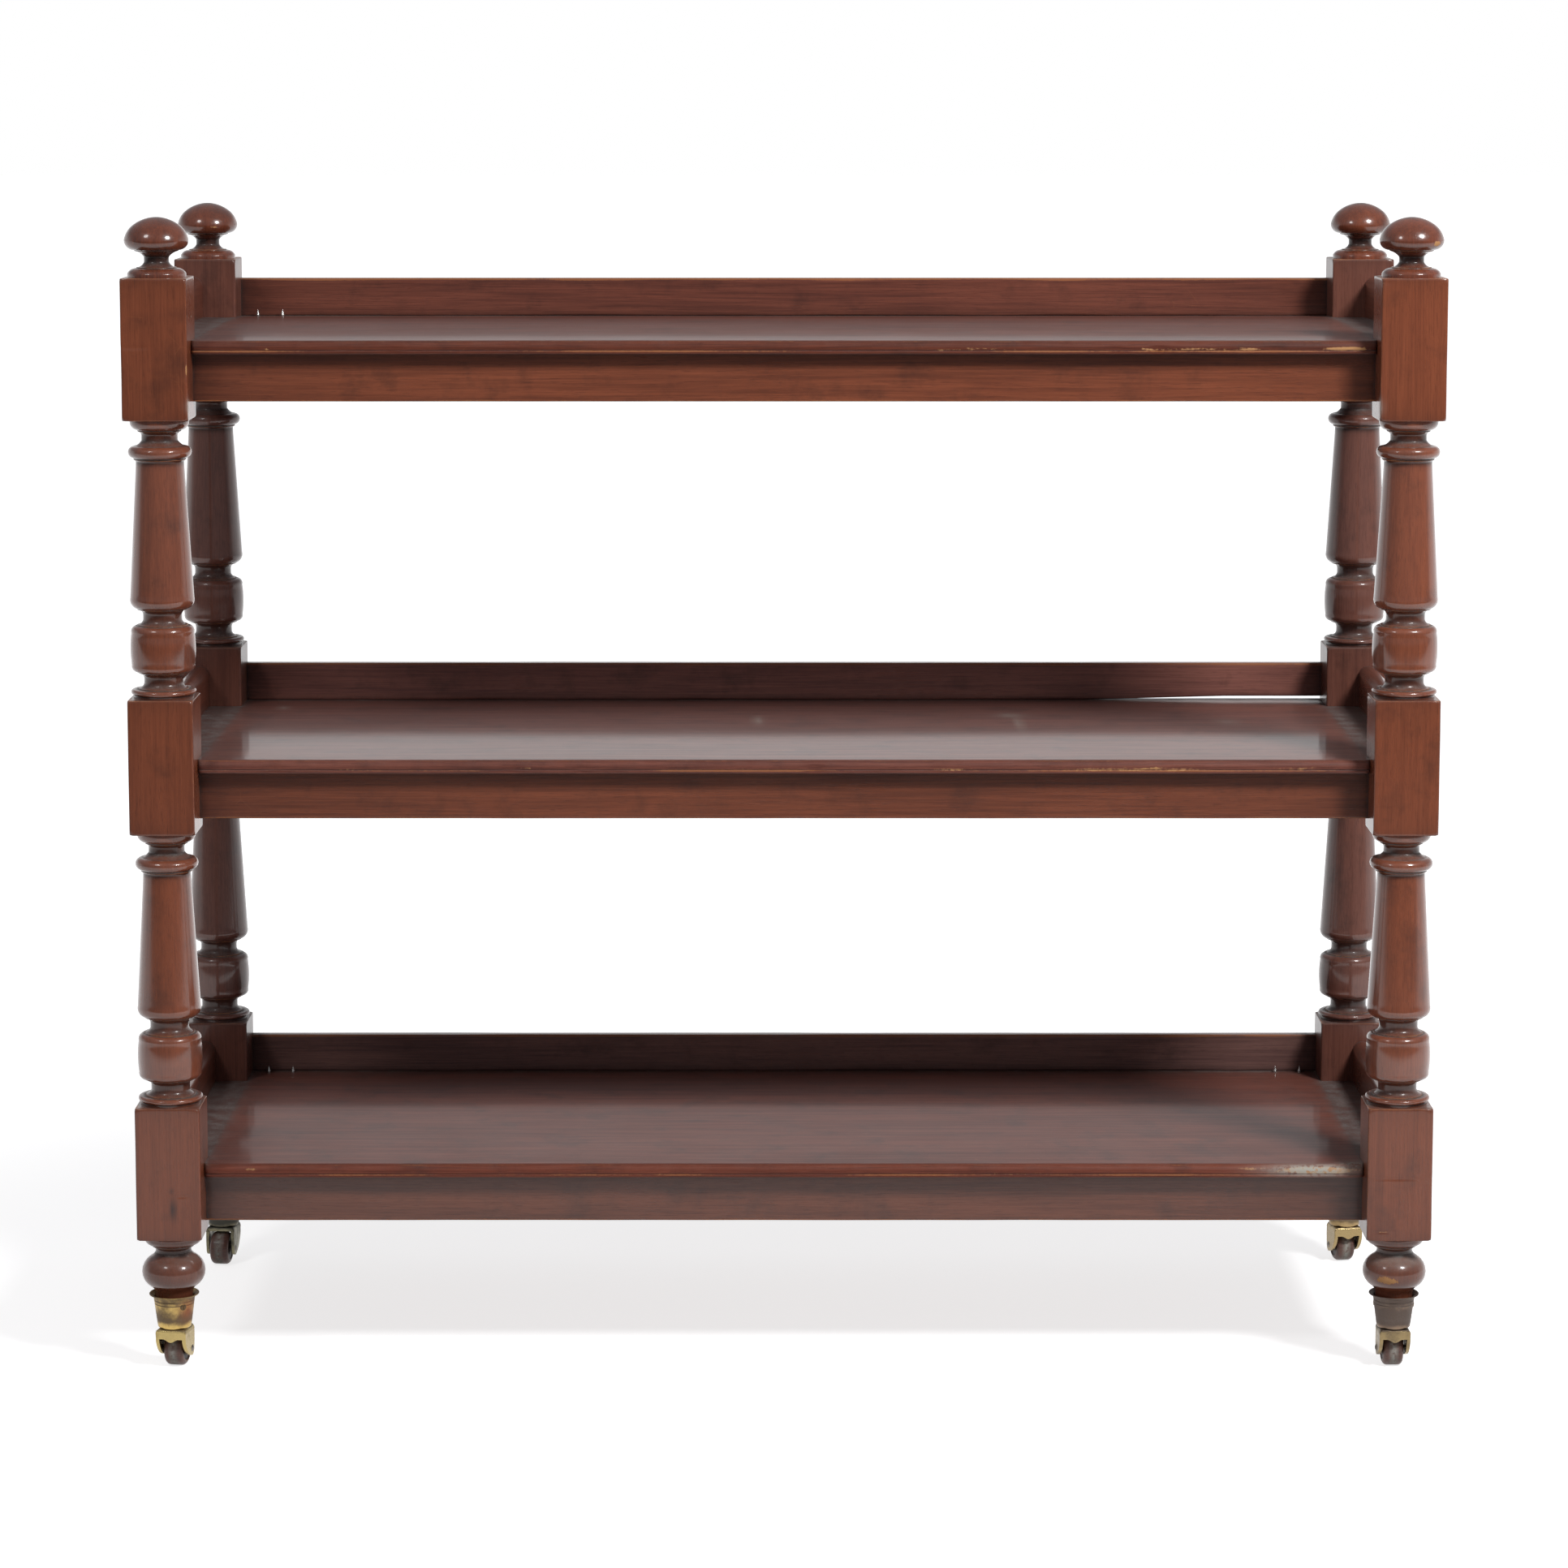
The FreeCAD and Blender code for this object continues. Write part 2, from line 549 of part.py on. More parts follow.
def block(name, foot, height):
    """A square block whose corners are turned off a little at both ends."""
    corner = "post_side * sqrt(2) / 2"
    prism = extruded(f"{name}_prism", block_plan, Z_AXIS, height)
    place(prism, z=f"{foot} + {height} / 2")
    barrel = turned(f"{name}_barrel", outline(f"{name}_ends", FRONT, [
        ("0", "0"),
        ("block_end_radius", "0"),
        (corner, "block_end_rise"),
        (corner, f"{height} - block_end_rise"),
        ("block_end_radius", height),
        ("0", height),
    ]))
    place(barrel, z=foot)
    return feature("Common", name, Base=prism, Tool=barrel)


HALF_POST = "post_side / 2"
POST_FLAT = "(post_side / 2 - post_arris)"
ARRIS_BULGE = f"post_arris * {QUARTER_BULGE}"
block_plan = outline("block_plan", PLAN, [
    (HALF_POST, f"-{POST_FLAT}", ARRIS_BULGE),
    (HALF_POST, POST_FLAT),
    (POST_FLAT, HALF_POST, ARRIS_BULGE),
    (f"-{POST_FLAT}", HALF_POST),
    (f"-{HALF_POST}", POST_FLAT, ARRIS_BULGE),
    (f"-{HALF_POST}", f"-{POST_FLAT}"),
    (f"-{POST_FLAT}", f"-{HALF_POST}", ARRIS_BULGE),
    (POST_FLAT, f"-{HALF_POST}"),
])
post_parts = [
    turned("foot_turning", foot_section),
    block("low_block", BLOCK_FOOT["bottom"], "block_rise"),
    place(turned("low_baluster", baluster_section), z=f"{BLOCK_FOOT['bottom']} + block_rise"),
    block("middle_block", BLOCK_FOOT["middle"], "block_rise"),
    place(turned("high_baluster", baluster_section), z=f"{BLOCK_FOOT['middle']} + block_rise"),
    block("top_block", BLOCK_FOOT["top"], "top_block_rise"),
]
post_blank = fuse("post_blank", post_parts)

# ---------------------------------------------------------------------------------------
# Tiers: boards, rails and galleries.  Each board with tenons has a core that runs through
# it into the posts, and the same core cuts the mortises.
# ---------------------------------------------------------------------------------------
mortises = {corner: [] for corner in CORNERS}
shelf_screws, glue_blocks, cleats, cleat_screws = [], [], [], []
CLEATS = {"bottom": ["left", "right"], "middle": [], "top": ["left"]}

shelf_plan = outline("shelf_plan", PLAN, [
    (f"-{INNER_X}", f"{SHELF_FRONT_Y} + nosing_corner"),
    (f"nosing_corner - {INNER_X}", SHELF_FRONT_Y, f"nosing_corner * {QUARTER_BULGE}"),
    (f"{INNER_X} - nosing_corner", SHELF_FRONT_Y),
    (INNER_X, f"{SHELF_FRONT_Y} + nosing_corner", f"nosing_corner * {QUARTER_BULGE}"),
    (INNER_X, f"-{INNER_Y}"),
    (END_X, f"-{INNER_Y}"),
    (END_X, INNER_Y),
    (INNER_X, INNER_Y),
    (INNER_X, BACK_Y),
    (f"-{INNER_X}", BACK_Y),
    (f"-{INNER_X}", INNER_Y),
    (f"-{END_X}", INNER_Y),
    (f"-{END_X}", f"-{INNER_Y}"),
    (f"-{INNER_X}", f"-{INNER_Y}"),
])
shelf_side = outline("shelf_side", SIDE, [
    (f"{SHELF_FRONT_Y} + nosing_groove", "0", "nosing_bead_bulge"),
    (BACK_Y, "0"),
    (BACK_Y, "shelf_thickness"),
    (f"{SHELF_FRONT_Y} + nosing_thumb_run", "shelf_thickness"),
    (SHELF_FRONT_Y, "shelf_thickness - nosing_thumb_rise", "nosing_thumb_bulge"),
    (f"{SHELF_FRONT_Y} + nosing_groove", "nosing_bead_rise"),
])
back_gallery_side = outline("back_gallery_side", SIDE, [
    (f"{BACK_Y} - gallery_thickness", "-gallery_housing"),
    (BACK_Y, "-gallery_housing"),
    (BACK_Y, "gallery_height - gallery_arris"),
    (f"{BACK_Y} - gallery_arris", "gallery_height", f"gallery_arris * {QUARTER_BULGE}"),
    (f"{BACK_Y} - gallery_thickness + gallery_arris", "gallery_height"),
    (f"{BACK_Y} - gallery_thickness", "gallery_height - gallery_arris", f"gallery_arris * {QUARTER_BULGE}"),
])
gallery_gap_face = outline("gallery_gap_face", FRONT, [
    (f"{INNER_X} - gallery_lift_run", "-gallery_housing"),
    (INNER_X, "-gallery_housing"),
    (INNER_X, "gallery_lift"),
])
ROUND_TOP = "side_gallery_thickness / 2"
side_gallery_end = outline("side_gallery_end", FRONT, [
    (f"-{ROUND_TOP}", "-gallery_housing"),
    (ROUND_TOP, "-gallery_housing"),
    (ROUND_TOP, f"side_gallery_height - {ROUND_TOP}"),
    ("0", "side_gallery_height", f"{ROUND_TOP} * {QUARTER_BULGE}"),
    (f"-{ROUND_TOP}", f"side_gallery_height - {ROUND_TOP}", f"{ROUND_TOP} * {QUARTER_BULGE}"),
])
glue_block_section = outline("glue_block_section", SIDE, [
    ("0", "0"),
    ("0", "-glue_block_leg"),
    ("glue_block_leg", "0"),
])


def both_ways(reach):
    return f"-({reach})", reach


def centred(middle, width):
    return f"{middle} - ({width}) / 2", f"{middle} + ({width}) / 2"


def long_core(name, middle_y, heights, length, thickness):
    """The core of a board between the left and right posts."""
    return box(name, both_ways(f"{INNER_X} + {length}"), centred(middle_y, thickness), heights)


def side_core(name, middle_x, heights, length, thickness):
    """The core of a board between a front and a back post."""
    return box(name, centred(middle_x, thickness), both_ways(f"{INNER_Y} + {length}"), heights)


def screw_hole(section, screw_section, screws, x, y, z):
    """Adds the screw at that place to screws, and returns the tool that cuts its hole."""
    count = len(screws) + 1
    screws.append(place(turned(f"{screw_section.Name}_{count}", screw_section), x, y, z))
    return place(turned(f"{section.Name}_{count}", section), x, y, z)


def rail_screws(places, underside):
    return [screw_hole(shelf_screw_hole_section, shelf_screw_section, shelf_screws, x, y, underside)
            for x, y in places]


def add_glue_blocks(places, turn, underside):
    """Glue blocks between the rail behind each place and the shelf over it."""
    for x, y in places:
        prism = extruded(f"glue_block_{len(glue_blocks) + 1}", glue_block_section, X_AXIS,
                         "glue_block_length")
        glue_blocks.append(place(prism, x, y, underside, turn))


for tier, shelf_top in SHELF_TOP.items():
    underside = f"({shelf_top} - shelf_thickness)"
    rail_foot = f"({underside} - rail_height)"
    rail_heights = (rail_foot, underside)
    core_heights = (f"{rail_foot} + tenon_shoulder", f"{underside} - tenon_shoulder")
    gallery_core = (f"{shelf_top} + stub_shoulder", f"{shelf_top} + gallery_height - stub_shoulder")
    housing_heights = (f"{shelf_top} - gallery_housing", f"{shelf_top} + gallery_housing")
    shelf_cuts = [box(f"back_housing_{tier}", both_ways(END_X), (f"{BACK_Y} - gallery_thickness", BACK_Y),
                      housing_heights)]

    # Front apron and back rail
    for name, front_y, ends in (("front_apron", APRON_FRONT_Y, "front"),
                                ("back_rail", BACK_RAIL_FRONT_Y, "back")):
        middle_y = f"({front_y} + rail_thickness / 2)"
        board = box(f"{name}_{tier}_board", both_ways(INNER_X),
                    (front_y, f"{front_y} + rail_thickness"), rail_heights)
        core = long_core(f"{name}_{tier}_core", middle_y, core_heights, "tenon_length", "tenon_thickness")
        holes = rail_screws([(f"{step} * shelf_screw_pitch", middle_y) for step in (-1, 0, 1)], underside)
        node(f"{name}_{tier}",
             cut(f"{name}_{tier}_drilled", fuse(f"{name}_{tier}_blank", [board, core]), holes))
        for side in SIDES:
            mortises[f"{ends}_{side}"].append(core)
        inner_face, turn = (f"{front_y} + rail_thickness", "0") if ends == "front" else (front_y, "180")
        add_glue_blocks([(f"{step} * glue_block_pitch", inner_face) for step in (-1, 1)], turn, underside)
        shelf_cuts += holes

    # Side rails and side galleries
    for side, sign in SIDES.items():
        rail_x = mirrored(sign, f"{END_X} - rail_thickness", END_X)
        middle_x = f"({rail_x[0]} + rail_thickness / 2)"
        board = box(f"side_rail_{tier}_{side}_board", rail_x, both_ways(INNER_Y), rail_heights)
        core = side_core(f"side_rail_{tier}_{side}_core", middle_x, core_heights,
                         "tenon_length", "tenon_thickness")
        holes = rail_screws([(middle_x, "0")], underside)
        node(f"side_rail_{tier}_{side}",
             cut(f"side_rail_{tier}_{side}_drilled",
                 fuse(f"side_rail_{tier}_{side}_blank", [board, core]), holes))
        inner_face = f"{sign} * ({END_X} - rail_thickness)"
        add_glue_blocks([(inner_face, f"{step} * glue_block_side_offset") for step in (-1, 1)],
                        "90" if side == "right" else "270", underside)
        shelf_cuts += holes

        gallery_x = f"({sign} * ({END_X} - side_gallery_thickness / 2))"
        gallery = extruded(f"side_gallery_{tier}_{side}_board", side_gallery_end, Y_AXIS, f"2 * {INNER_Y}")
        place(gallery, x=gallery_x, z=shelf_top)
        stub = side_core(f"side_gallery_{tier}_{side}_core", gallery_x, gallery_core,
                         "stub_length", "stub_thickness")
        node(f"side_gallery_{tier}_{side}", fuse(f"side_gallery_{tier}_{side}_solid", [gallery, stub]))
        shelf_cuts.append(box(f"side_housing_{tier}_{side}",
                              mirrored(sign, f"{END_X} - side_gallery_thickness", END_X),
                              both_ways(INNER_Y), housing_heights))
        for end in ("front", "back"):
            mortises[f"{end}_{side}"] += [core, stub]

    # Back gallery; the middle one has shrunk off its shelf at the right end
    gallery = place(extruded(f"back_gallery_{tier}_board", back_gallery_side, X_AXIS, f"2 * {INNER_X}"),
                    z=shelf_top)
    if tier == "middle":
        gap = extruded("gallery_gap", gallery_gap_face, Y_AXIS, "2 * overall_depth")
        gallery = cut("back_gallery_middle_lifted", gallery, [place(gap, z=shelf_top)])
    stub = long_core(f"back_gallery_{tier}_core", f"({BACK_Y} - gallery_thickness / 2)", gallery_core,
                     "stub_length", "stub_thickness")
    node(f"back_gallery_{tier}", fuse(f"back_gallery_{tier}_solid", [gallery, stub]))
    for side in SIDES:
        mortises[f"back_{side}"].append(stub)

    # Repair cleats in some back corners, screwed to the shelf from below
    for side in CLEATS[tier]:
        sign = SIDES[side]
        outer = f"({INNER_X} - cleat_end_gap)"
        cleat = box(f"cleat_{tier}_{side}_board", mirrored(sign, f"{outer} - cleat_length", outer),
                    (f"{BACK_RAIL_FRONT_Y} - cleat_width", BACK_RAIL_FRONT_Y),
                    (f"{underside} - cleat_height", underside))
        holes = [screw_hole(cleat_screw_hole_section, cleat_screw_section, cleat_screws,
                            f"{sign} * ({INNER_X} - cleat_screw_first - {step} * cleat_screw_pitch)",
                            f"{BACK_RAIL_FRONT_Y} - cleat_screw_inset", underside) for step in (0, 1)]
        cleats.append(cut(f"cleat_{tier}_{side}_drilled", cleat, holes))
        shelf_cuts += holes

    # Shelf, notched round the posts, with a thumb-and-bead front edge
    board = feature("Common", f"shelf_{tier}_board",
                    Base=place(extruded(f"shelf_{tier}_plan", shelf_plan, Z_AXIS, "2 * shelf_thickness"),
                               z=underside),
                    Tool=place(extruded(f"shelf_{tier}_side", shelf_side, X_AXIS, "overall_width"),
                               z=underside))
    node(f"shelf_{tier}", cut(f"shelf_{tier}_worked", board, shelf_cuts))

node("shelf_screws", feature("Compound", "shelf_screw_set", Links=shelf_screws))
node("glue_blocks", feature("Compound", "glue_block_set", Links=glue_blocks))
node("cleats", feature("Compound", "cleat_set", Links=cleats))
node("cleat_screws", feature("Compound", "cleat_screw_set", Links=cleat_screws))

# ---------------------------------------------------------------------------------------
# Castors and posts, corner by corner
# ---------------------------------------------------------------------------------------
def cup_radius(height):
    """The cup's outer radius at a height over its underside."""
    slope = "(cup_mouth_radius - cup_base_radius) / (cup_wall_rise - cup_base_round)"
    return f"(cup_base_radius + ({height} - cup_base_round) * {slope})"


def engraved_line(height):
    """The corners of a groove turned round the cup's wall."""
    top = f"{height} + cup_line_width"
    return [
        (cup_radius(height), f"cup_base_height + {height}"),
        (f"{cup_radius(height)} - cup_line_depth", f"cup_base_height + {height} + cup_line_width / 2"),
        (cup_radius(top), f"cup_base_height + {top}"),
    ]


cup_section = outline("cup_section", FRONT, [
    ("pivot_radius + running_gap", "cup_base_height"),
    ("cup_base_radius - cup_base_round", "cup_base_height"),
    ("cup_base_radius", "cup_base_height + cup_base_round", f"cup_base_round * {QUARTER_BULGE}"),
    *engraved_line("cup_line_height"),
    *engraved_line("(cup_line_height + cup_line_pitch)"),
    ("cup_mouth_radius", CUP_TOP_OF_WALL),
    ("cup_flange_radius", FLANGE_EDGE, "-cup_flange_hollow"),
    ("cup_flange_radius", f"{FLANGE_EDGE} + cup_lip", "cup_lip / 3"),
    ("cup_mouth_radius - cup_wall", CUP_TOP_OF_WALL, "cup_flange_hollow"),
    ("cup_base_radius - cup_wall", CUP_FLOOR),
    ("pivot_radius + running_gap", CUP_FLOOR),
])

# A cup screw lies along +X, its head's dome outwards; HEAD_SEAT is how far out it seats
HEAD_SEAT = f"({cup_radius('cup_screw_height')} - cup_screw_sink)"
HEAD_EDGE = f"({HEAD_SEAT} + cup_screw_head_rise)"
cup_screw_section = outline("cup_screw_section", FRONT, [
    (f"{HEAD_SEAT} - cup_screw_length", "0"),
    (f"{HEAD_EDGE} + cup_screw_head_dome", "0"),
    (HEAD_EDGE, "cup_screw_head_radius", dome("cup_screw_head_radius", "cup_screw_head_dome")),
    (HEAD_SEAT, "cup_screw_head_radius"),
    (HEAD_SEAT, "cup_screw_radius"),
    (f"{HEAD_SEAT} - cup_screw_length + cup_screw_radius", "cup_screw_radius"),
])
cup_screw_hole_section = outline("cup_screw_hole_section", FRONT, [
    (f"{HEAD_SEAT} - cup_screw_length - glue_gap", "0"),
    (f"2 * {HEAD_EDGE} - {HEAD_SEAT}", "0"),
    (f"2 * {HEAD_EDGE} - {HEAD_SEAT}", "cup_screw_head_radius + glue_gap"),
    (HEAD_SEAT, "cup_screw_head_radius + glue_gap"),
    (HEAD_SEAT, "cup_screw_radius + glue_gap"),
    (f"{HEAD_SEAT} - cup_screw_length - glue_gap", "cup_screw_radius + glue_gap"),
])
cup_screw_blank = turned("cup_screw_blank", cup_screw_section, X_AXIS)
HEAD_TOP = f"({HEAD_EDGE} + cup_screw_head_dome)"
cup_screw_slot = box("cup_screw_slot_tool",
                     (f"{HEAD_TOP} - cup_screw_slot_depth", f"{HEAD_TOP} + cup_screw_slot"),
                     centred("0", "cup_screw_slot"), both_ways("2 * cup_screw_head_radius"))

# Yoke: cheeks, crown and front web in one casting, with the swivel pin riveted into the cup
yoke_side = outline("yoke_side", SIDE, [
    ("-yoke_reach", "yoke_cheek_height"),
    ("trail", "wheel_radius - yoke_boss_radius", "yoke_cheek_bulge"),
    ("trail + yoke_boss_radius", "wheel_radius", f"yoke_boss_radius * {QUARTER_BULGE}"),
    ("yoke_reach", YOKE_TOP, "yoke_back_bulge"),
    ("-yoke_reach", YOKE_TOP),
])
yoke_front = outline("yoke_front", FRONT, [
    ("-yoke_width / 2", "0"),
    ("yoke_width / 2", "0"),
    ("yoke_width / 2", f"{YOKE_TOP} - yoke_shoulder_rise"),
    ("yoke_crown_width / 2", YOKE_TOP, "yoke_shoulder_bulge"),
    ("-yoke_crown_width / 2", YOKE_TOP),
    ("-yoke_width / 2", f"{YOKE_TOP} - yoke_shoulder_rise", "yoke_shoulder_bulge"),
])
SLOT_HALF = "(wheel_width / 2 + wheel_side_gap)"
brow = outline("yoke_brow", FRONT, [
    (f"-{SLOT_HALF}", "0"),
    (SLOT_HALF, "0"),
    (SLOT_HALF, "yoke_brow_height + yoke_brow_drop"),
    (f"-{SLOT_HALF}", "yoke_brow_height + yoke_brow_drop", "-yoke_brow_drop"),
])
PIVOT_HEAD_FOOT = f"({CUP_FLOOR} + swivel_gap)"
yoke_casting = feature("Common", "yoke_casting",
                       Base=extruded("yoke_cheeks", yoke_side, X_AXIS, "yoke_width"),
                       Tool=extruded("yoke_face", yoke_front, Y_AXIS, "4 * (yoke_reach + trail)"))
yoke_blank = fuse("yoke_blank", [
    yoke_casting,
    cylinder("pivot", "pivot_radius", f"{PIVOT_HEAD_FOOT} - {YOKE_TOP}", z=YOKE_TOP),
    cylinder("pivot_head", "pivot_head_radius", "pivot_head_rise", z=PIVOT_HEAD_FOOT),
])
wheel_slot = box("wheel_slot", both_ways(SLOT_HALF), ("yoke_web - yoke_reach", "2 * (yoke_reach + trail)"),
                 ("0", "2 * wheel_radius + wheel_top_gap"))
brow_tool = extruded("brow_tool", brow, Y_AXIS, "2 * yoke_reach")
axle_hole = place(turned("axle_hole", outline("axle_hole_section", FRONT, [
    ("-yoke_width", "0"),
    ("yoke_width", "0"),
    ("yoke_width", "axle_radius + glue_gap"),
    ("-yoke_width", "axle_radius + glue_gap"),
]), X_AXIS), y="trail", z="wheel_radius")

# Wheel and axle, turned about the X axis
TREAD_HALF = "(wheel_width / 2 - wheel_round)"
RIM_FOOT = "(wheel_radius - wheel_round - wheel_hub_depth)"
wheel_section = outline("wheel_section", FRONT, [
    ("-wheel_width / 2", "axle_radius + running_gap"),
    ("wheel_width / 2", "axle_radius + running_gap"),
    ("wheel_width / 2", "wheel_hub_radius - wheel_hub_depth"),
    ("wheel_width / 2 - wheel_hub_depth", "wheel_hub_radius"),
    ("wheel_width / 2 - wheel_hub_depth", RIM_FOOT),
    ("wheel_width / 2", "wheel_radius - wheel_round"),
    (TREAD_HALF, "wheel_radius", f"wheel_round * {QUARTER_BULGE}"),
    (f"-{TREAD_HALF}", "wheel_radius"),
    ("-wheel_width / 2", "wheel_radius - wheel_round", f"wheel_round * {QUARTER_BULGE}"),
    ("wheel_hub_depth - wheel_width / 2", RIM_FOOT),
    ("wheel_hub_depth - wheel_width / 2", "wheel_hub_radius"),
    ("-wheel_width / 2", "wheel_hub_radius - wheel_hub_depth"),
])
axle_section = outline("axle_section", FRONT, [
    ("-yoke_width / 2 - axle_head_rise", "0", dome("axle_head_radius", "axle_head_rise")),
    ("yoke_width / 2 + axle_head_rise", "0"),
    ("yoke_width / 2", "axle_head_radius", dome("axle_head_radius", "axle_head_rise")),
    ("yoke_width / 2", "axle_radius"),
    ("-yoke_width / 2", "axle_radius"),
    ("-yoke_width / 2", "axle_head_radius"),
])

# Finial: collar, neck and domed knob, with a spigot into the post
finial_section = outline("finial_section", FRONT, [
    ("0", "-spigot_length"),
    ("spigot_radius", "-spigot_length"),
    ("spigot_radius", "0"),
    *climb("0", [
        ("0", "finial_base_radius"),
        ("finial_base_rise", "finial_base_radius"),
        ("finial_dome_rise", "finial_ledge_radius", "finial_dome_bulge"),
        ("finial_ledge_rise", "finial_ledge_radius"),
        ("finial_cove_rise", "finial_neck_radius", "-finial_cove_hollow"),
        ("finial_neck_rise", "finial_neck_radius"),
        ("finial_cap_rise", "finial_cap_radius", "-finial_cap_hollow"),
        ("finial_rim_rise", "finial_cap_radius"),
        ("knob_under_rise", "knob_radius", "knob_under_bulge"),
        ("knob_side_rise", "knob_side_radius", "knob_side_bulge"),
        ("knob_top_rise", "0", dome("knob_side_radius", "knob_top_rise")),
    ]),
])

cup_screws = []
for corner, (side, end) in CORNERS.items():
    x, y = f"{side} * {AXIS_X}", f"{end} * {AXIS_Y}"
    screw_turn = "cup_screw_turn_front_left" if corner == "front_left" else "cup_screw_turn"
    screw_holes = []
    for half_turn in (0, 180):
        hole = turned(f"cup_screw_hole_{corner}_{half_turn}", cup_screw_hole_section, X_AXIS)
        screw = cut(f"cup_screw_{corner}_{half_turn}", cup_screw_blank, [cup_screw_slot])
        for obj in (hole, screw):
            place(obj, x, y, "cup_base_height + cup_screw_height", f"{screw_turn} + {half_turn}")
        screw_holes.append(hole)
        cup_screws.append(screw)

    finial_bore = cylinder(f"finial_bore_{corner}", "spigot_radius + glue_gap", "2 * spigot_length",
                           x, y, f"{POST_TOP} - spigot_length - glue_gap")
    post = place(feature("Compound", f"post_{corner}", Links=[post_blank]), x, y)
    node(f"upright_{corner}",
         cut(f"upright_{corner}_cut", post, [*mortises[corner], *screw_holes, finial_bore]))
    node(f"finial_{corner}", place(turned(f"finial_turning_{corner}", finial_section), x, y, POST_TOP))
    cup = place(turned(f"cup_{corner}", cup_section), x, y)
    node(f"castor_cup_{corner}", cut(f"cup_drilled_{corner}", cup, screw_holes))

    turn = f"castor_turn_{corner}"
    axle_place = (f"{x} - trail * sin({turn})", f"{y} + trail * cos({turn})", "wheel_radius", turn)
    yoke = cut(f"yoke_{corner}", yoke_blank, [wheel_slot, brow_tool, axle_hole])
    node(f"castor_yoke_{corner}", place(yoke, x, y, turn=turn))
    node(f"castor_wheel_{corner}", place(turned(f"wheel_{corner}", wheel_section, X_AXIS), *axle_place))
    node(f"castor_axle_{corner}", place(turned(f"axle_{corner}", axle_section, X_AXIS), *axle_place))
node("cup_screws", feature("Compound", "cup_screw_set", Links=cup_screws))

# ---------------------------------------------------------------------------------------
# Build, check and write each sub-part
# ---------------------------------------------------------------------------------------
doc.recompute()
failed = [obj.Label for obj in doc.Objects if {"Invalid", "Error"} & set(obj.State)]
if failed:
    raise RuntimeError(f"not built: {failed}")
for obj in nodes:
    if obj.Shape.isNull() or not obj.Shape.isValid() or not obj.Shape.Solids:
        raise RuntimeError(f"no valid solid: {obj.Label}")
os.makedirs("parts", exist_ok=True)
for obj in nodes:
    obj.Shape.exportStep(f"parts/{obj.Label}.step")
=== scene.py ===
import functools
import math

import bpy
import numpy as np
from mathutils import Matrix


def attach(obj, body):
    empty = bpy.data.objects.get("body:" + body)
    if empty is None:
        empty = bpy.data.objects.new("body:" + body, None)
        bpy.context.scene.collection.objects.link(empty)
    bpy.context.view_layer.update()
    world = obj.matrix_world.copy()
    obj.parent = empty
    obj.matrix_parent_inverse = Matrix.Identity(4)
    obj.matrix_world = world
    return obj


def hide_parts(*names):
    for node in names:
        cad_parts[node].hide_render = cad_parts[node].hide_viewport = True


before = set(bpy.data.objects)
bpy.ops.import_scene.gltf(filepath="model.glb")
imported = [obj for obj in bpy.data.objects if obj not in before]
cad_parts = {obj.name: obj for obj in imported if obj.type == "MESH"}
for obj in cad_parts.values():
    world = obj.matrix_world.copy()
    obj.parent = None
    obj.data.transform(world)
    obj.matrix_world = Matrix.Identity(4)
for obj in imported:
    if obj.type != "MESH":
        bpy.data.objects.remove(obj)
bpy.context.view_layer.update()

# ----------------------------------------------------------
# Uprights.  Four posts, each squared and turned from one length of solid mahogany: three
# square blocks take the rails' tenons, with two balusters turned between them and a ball
# foot below.  Shellac polish, with the arrises rubbed pale, dust in the quirks, and grime with
# painted shade darkening them.
MM = 0.001
SHARP_ANGLE = math.radians(38)
POST_X, POST_Y, HALF_POST = 579.5, 192.5, 30.5
BLOCKS = [(130.2, 126.7), (517.2, 126.7), (904.2, 131.2)]
# A block's corners: their radius at its ends, and by how much and how soon they fill out
END_RADIUS, END_FILL, END_RISE = 41.0, 2.13, 4.0
KNOCK_DEPTH = 0.7
BALUSTER_RISE = 260.3
WAIST = [(0, 23.6), (1, 23.6), (5, 18.1, -1.5), (4.2, 18.1), (5, 23.6, -1.5), (1, 23.6), (0, 24.8)]
BALUSTER_BASE = [(0, 28), (3, 28), (5, 28, 2.4), *WAIST, (6.7, 29.4, 1.8), (30, 29.4, 1),
                 (6.7, 24.8, 1.8), *WAIST, (10, 29.7, 2)]
CROWN = [(0, 27), (10, 20.3, 3.1), (1.4, 20.3), (4.1, 16.8, -1.1)]
BALUSTER_HEAD = [*CROWN, (4.4, 16.8), (5, 22.8, -0.5), (0, 24.4), (11.2, 24.4, 5.1),
                 (1.6, 24.4), (2.2, 22.3, -0.5)]
FOOT = [*CROWN, (1.5, 16.8), (5, 22, -0.5), (28, 22, 7.9), (6.8, 17.9, -1), (5.4, 17.7), (20, 15)]


def turned_line(steps, samples=9):
    """Points (radius, height) of a turning from its steps (rise, radius reached[, swelling]).
    A step with a swelling is an arc of a circle that stands off its chord by that much;
    a long straight step is divided every 8 mm."""
    ends = np.array([(step[1], 0) for step in steps], float)
    ends[:, 1] = np.cumsum([step[0] for step in steps])
    parts = [ends[:1]]
    for step, start, end in zip(steps[1:], ends[:-1], ends[1:]):
        chord = end - start
        length = np.hypot(*chord)
        if len(step) > 2:
            half = 2 * np.arctan(2 * step[2] / length)
            angle = half * np.linspace(-1, 1, samples)
            along = 0.5 + np.sin(angle) / (2 * np.sin(half))
            off = length * (np.cos(angle) - np.cos(half)) / (2 * np.sin(half))
        else:
            along = np.linspace(0, 1, 2 + int(length / 8))
            off = 0 * along
        outward = np.array([chord[1], -chord[0]]) / length
        parts.append((start + along[:, None] * chord + off[:, None] * outward)[1:])
    return np.concatenate(parts)


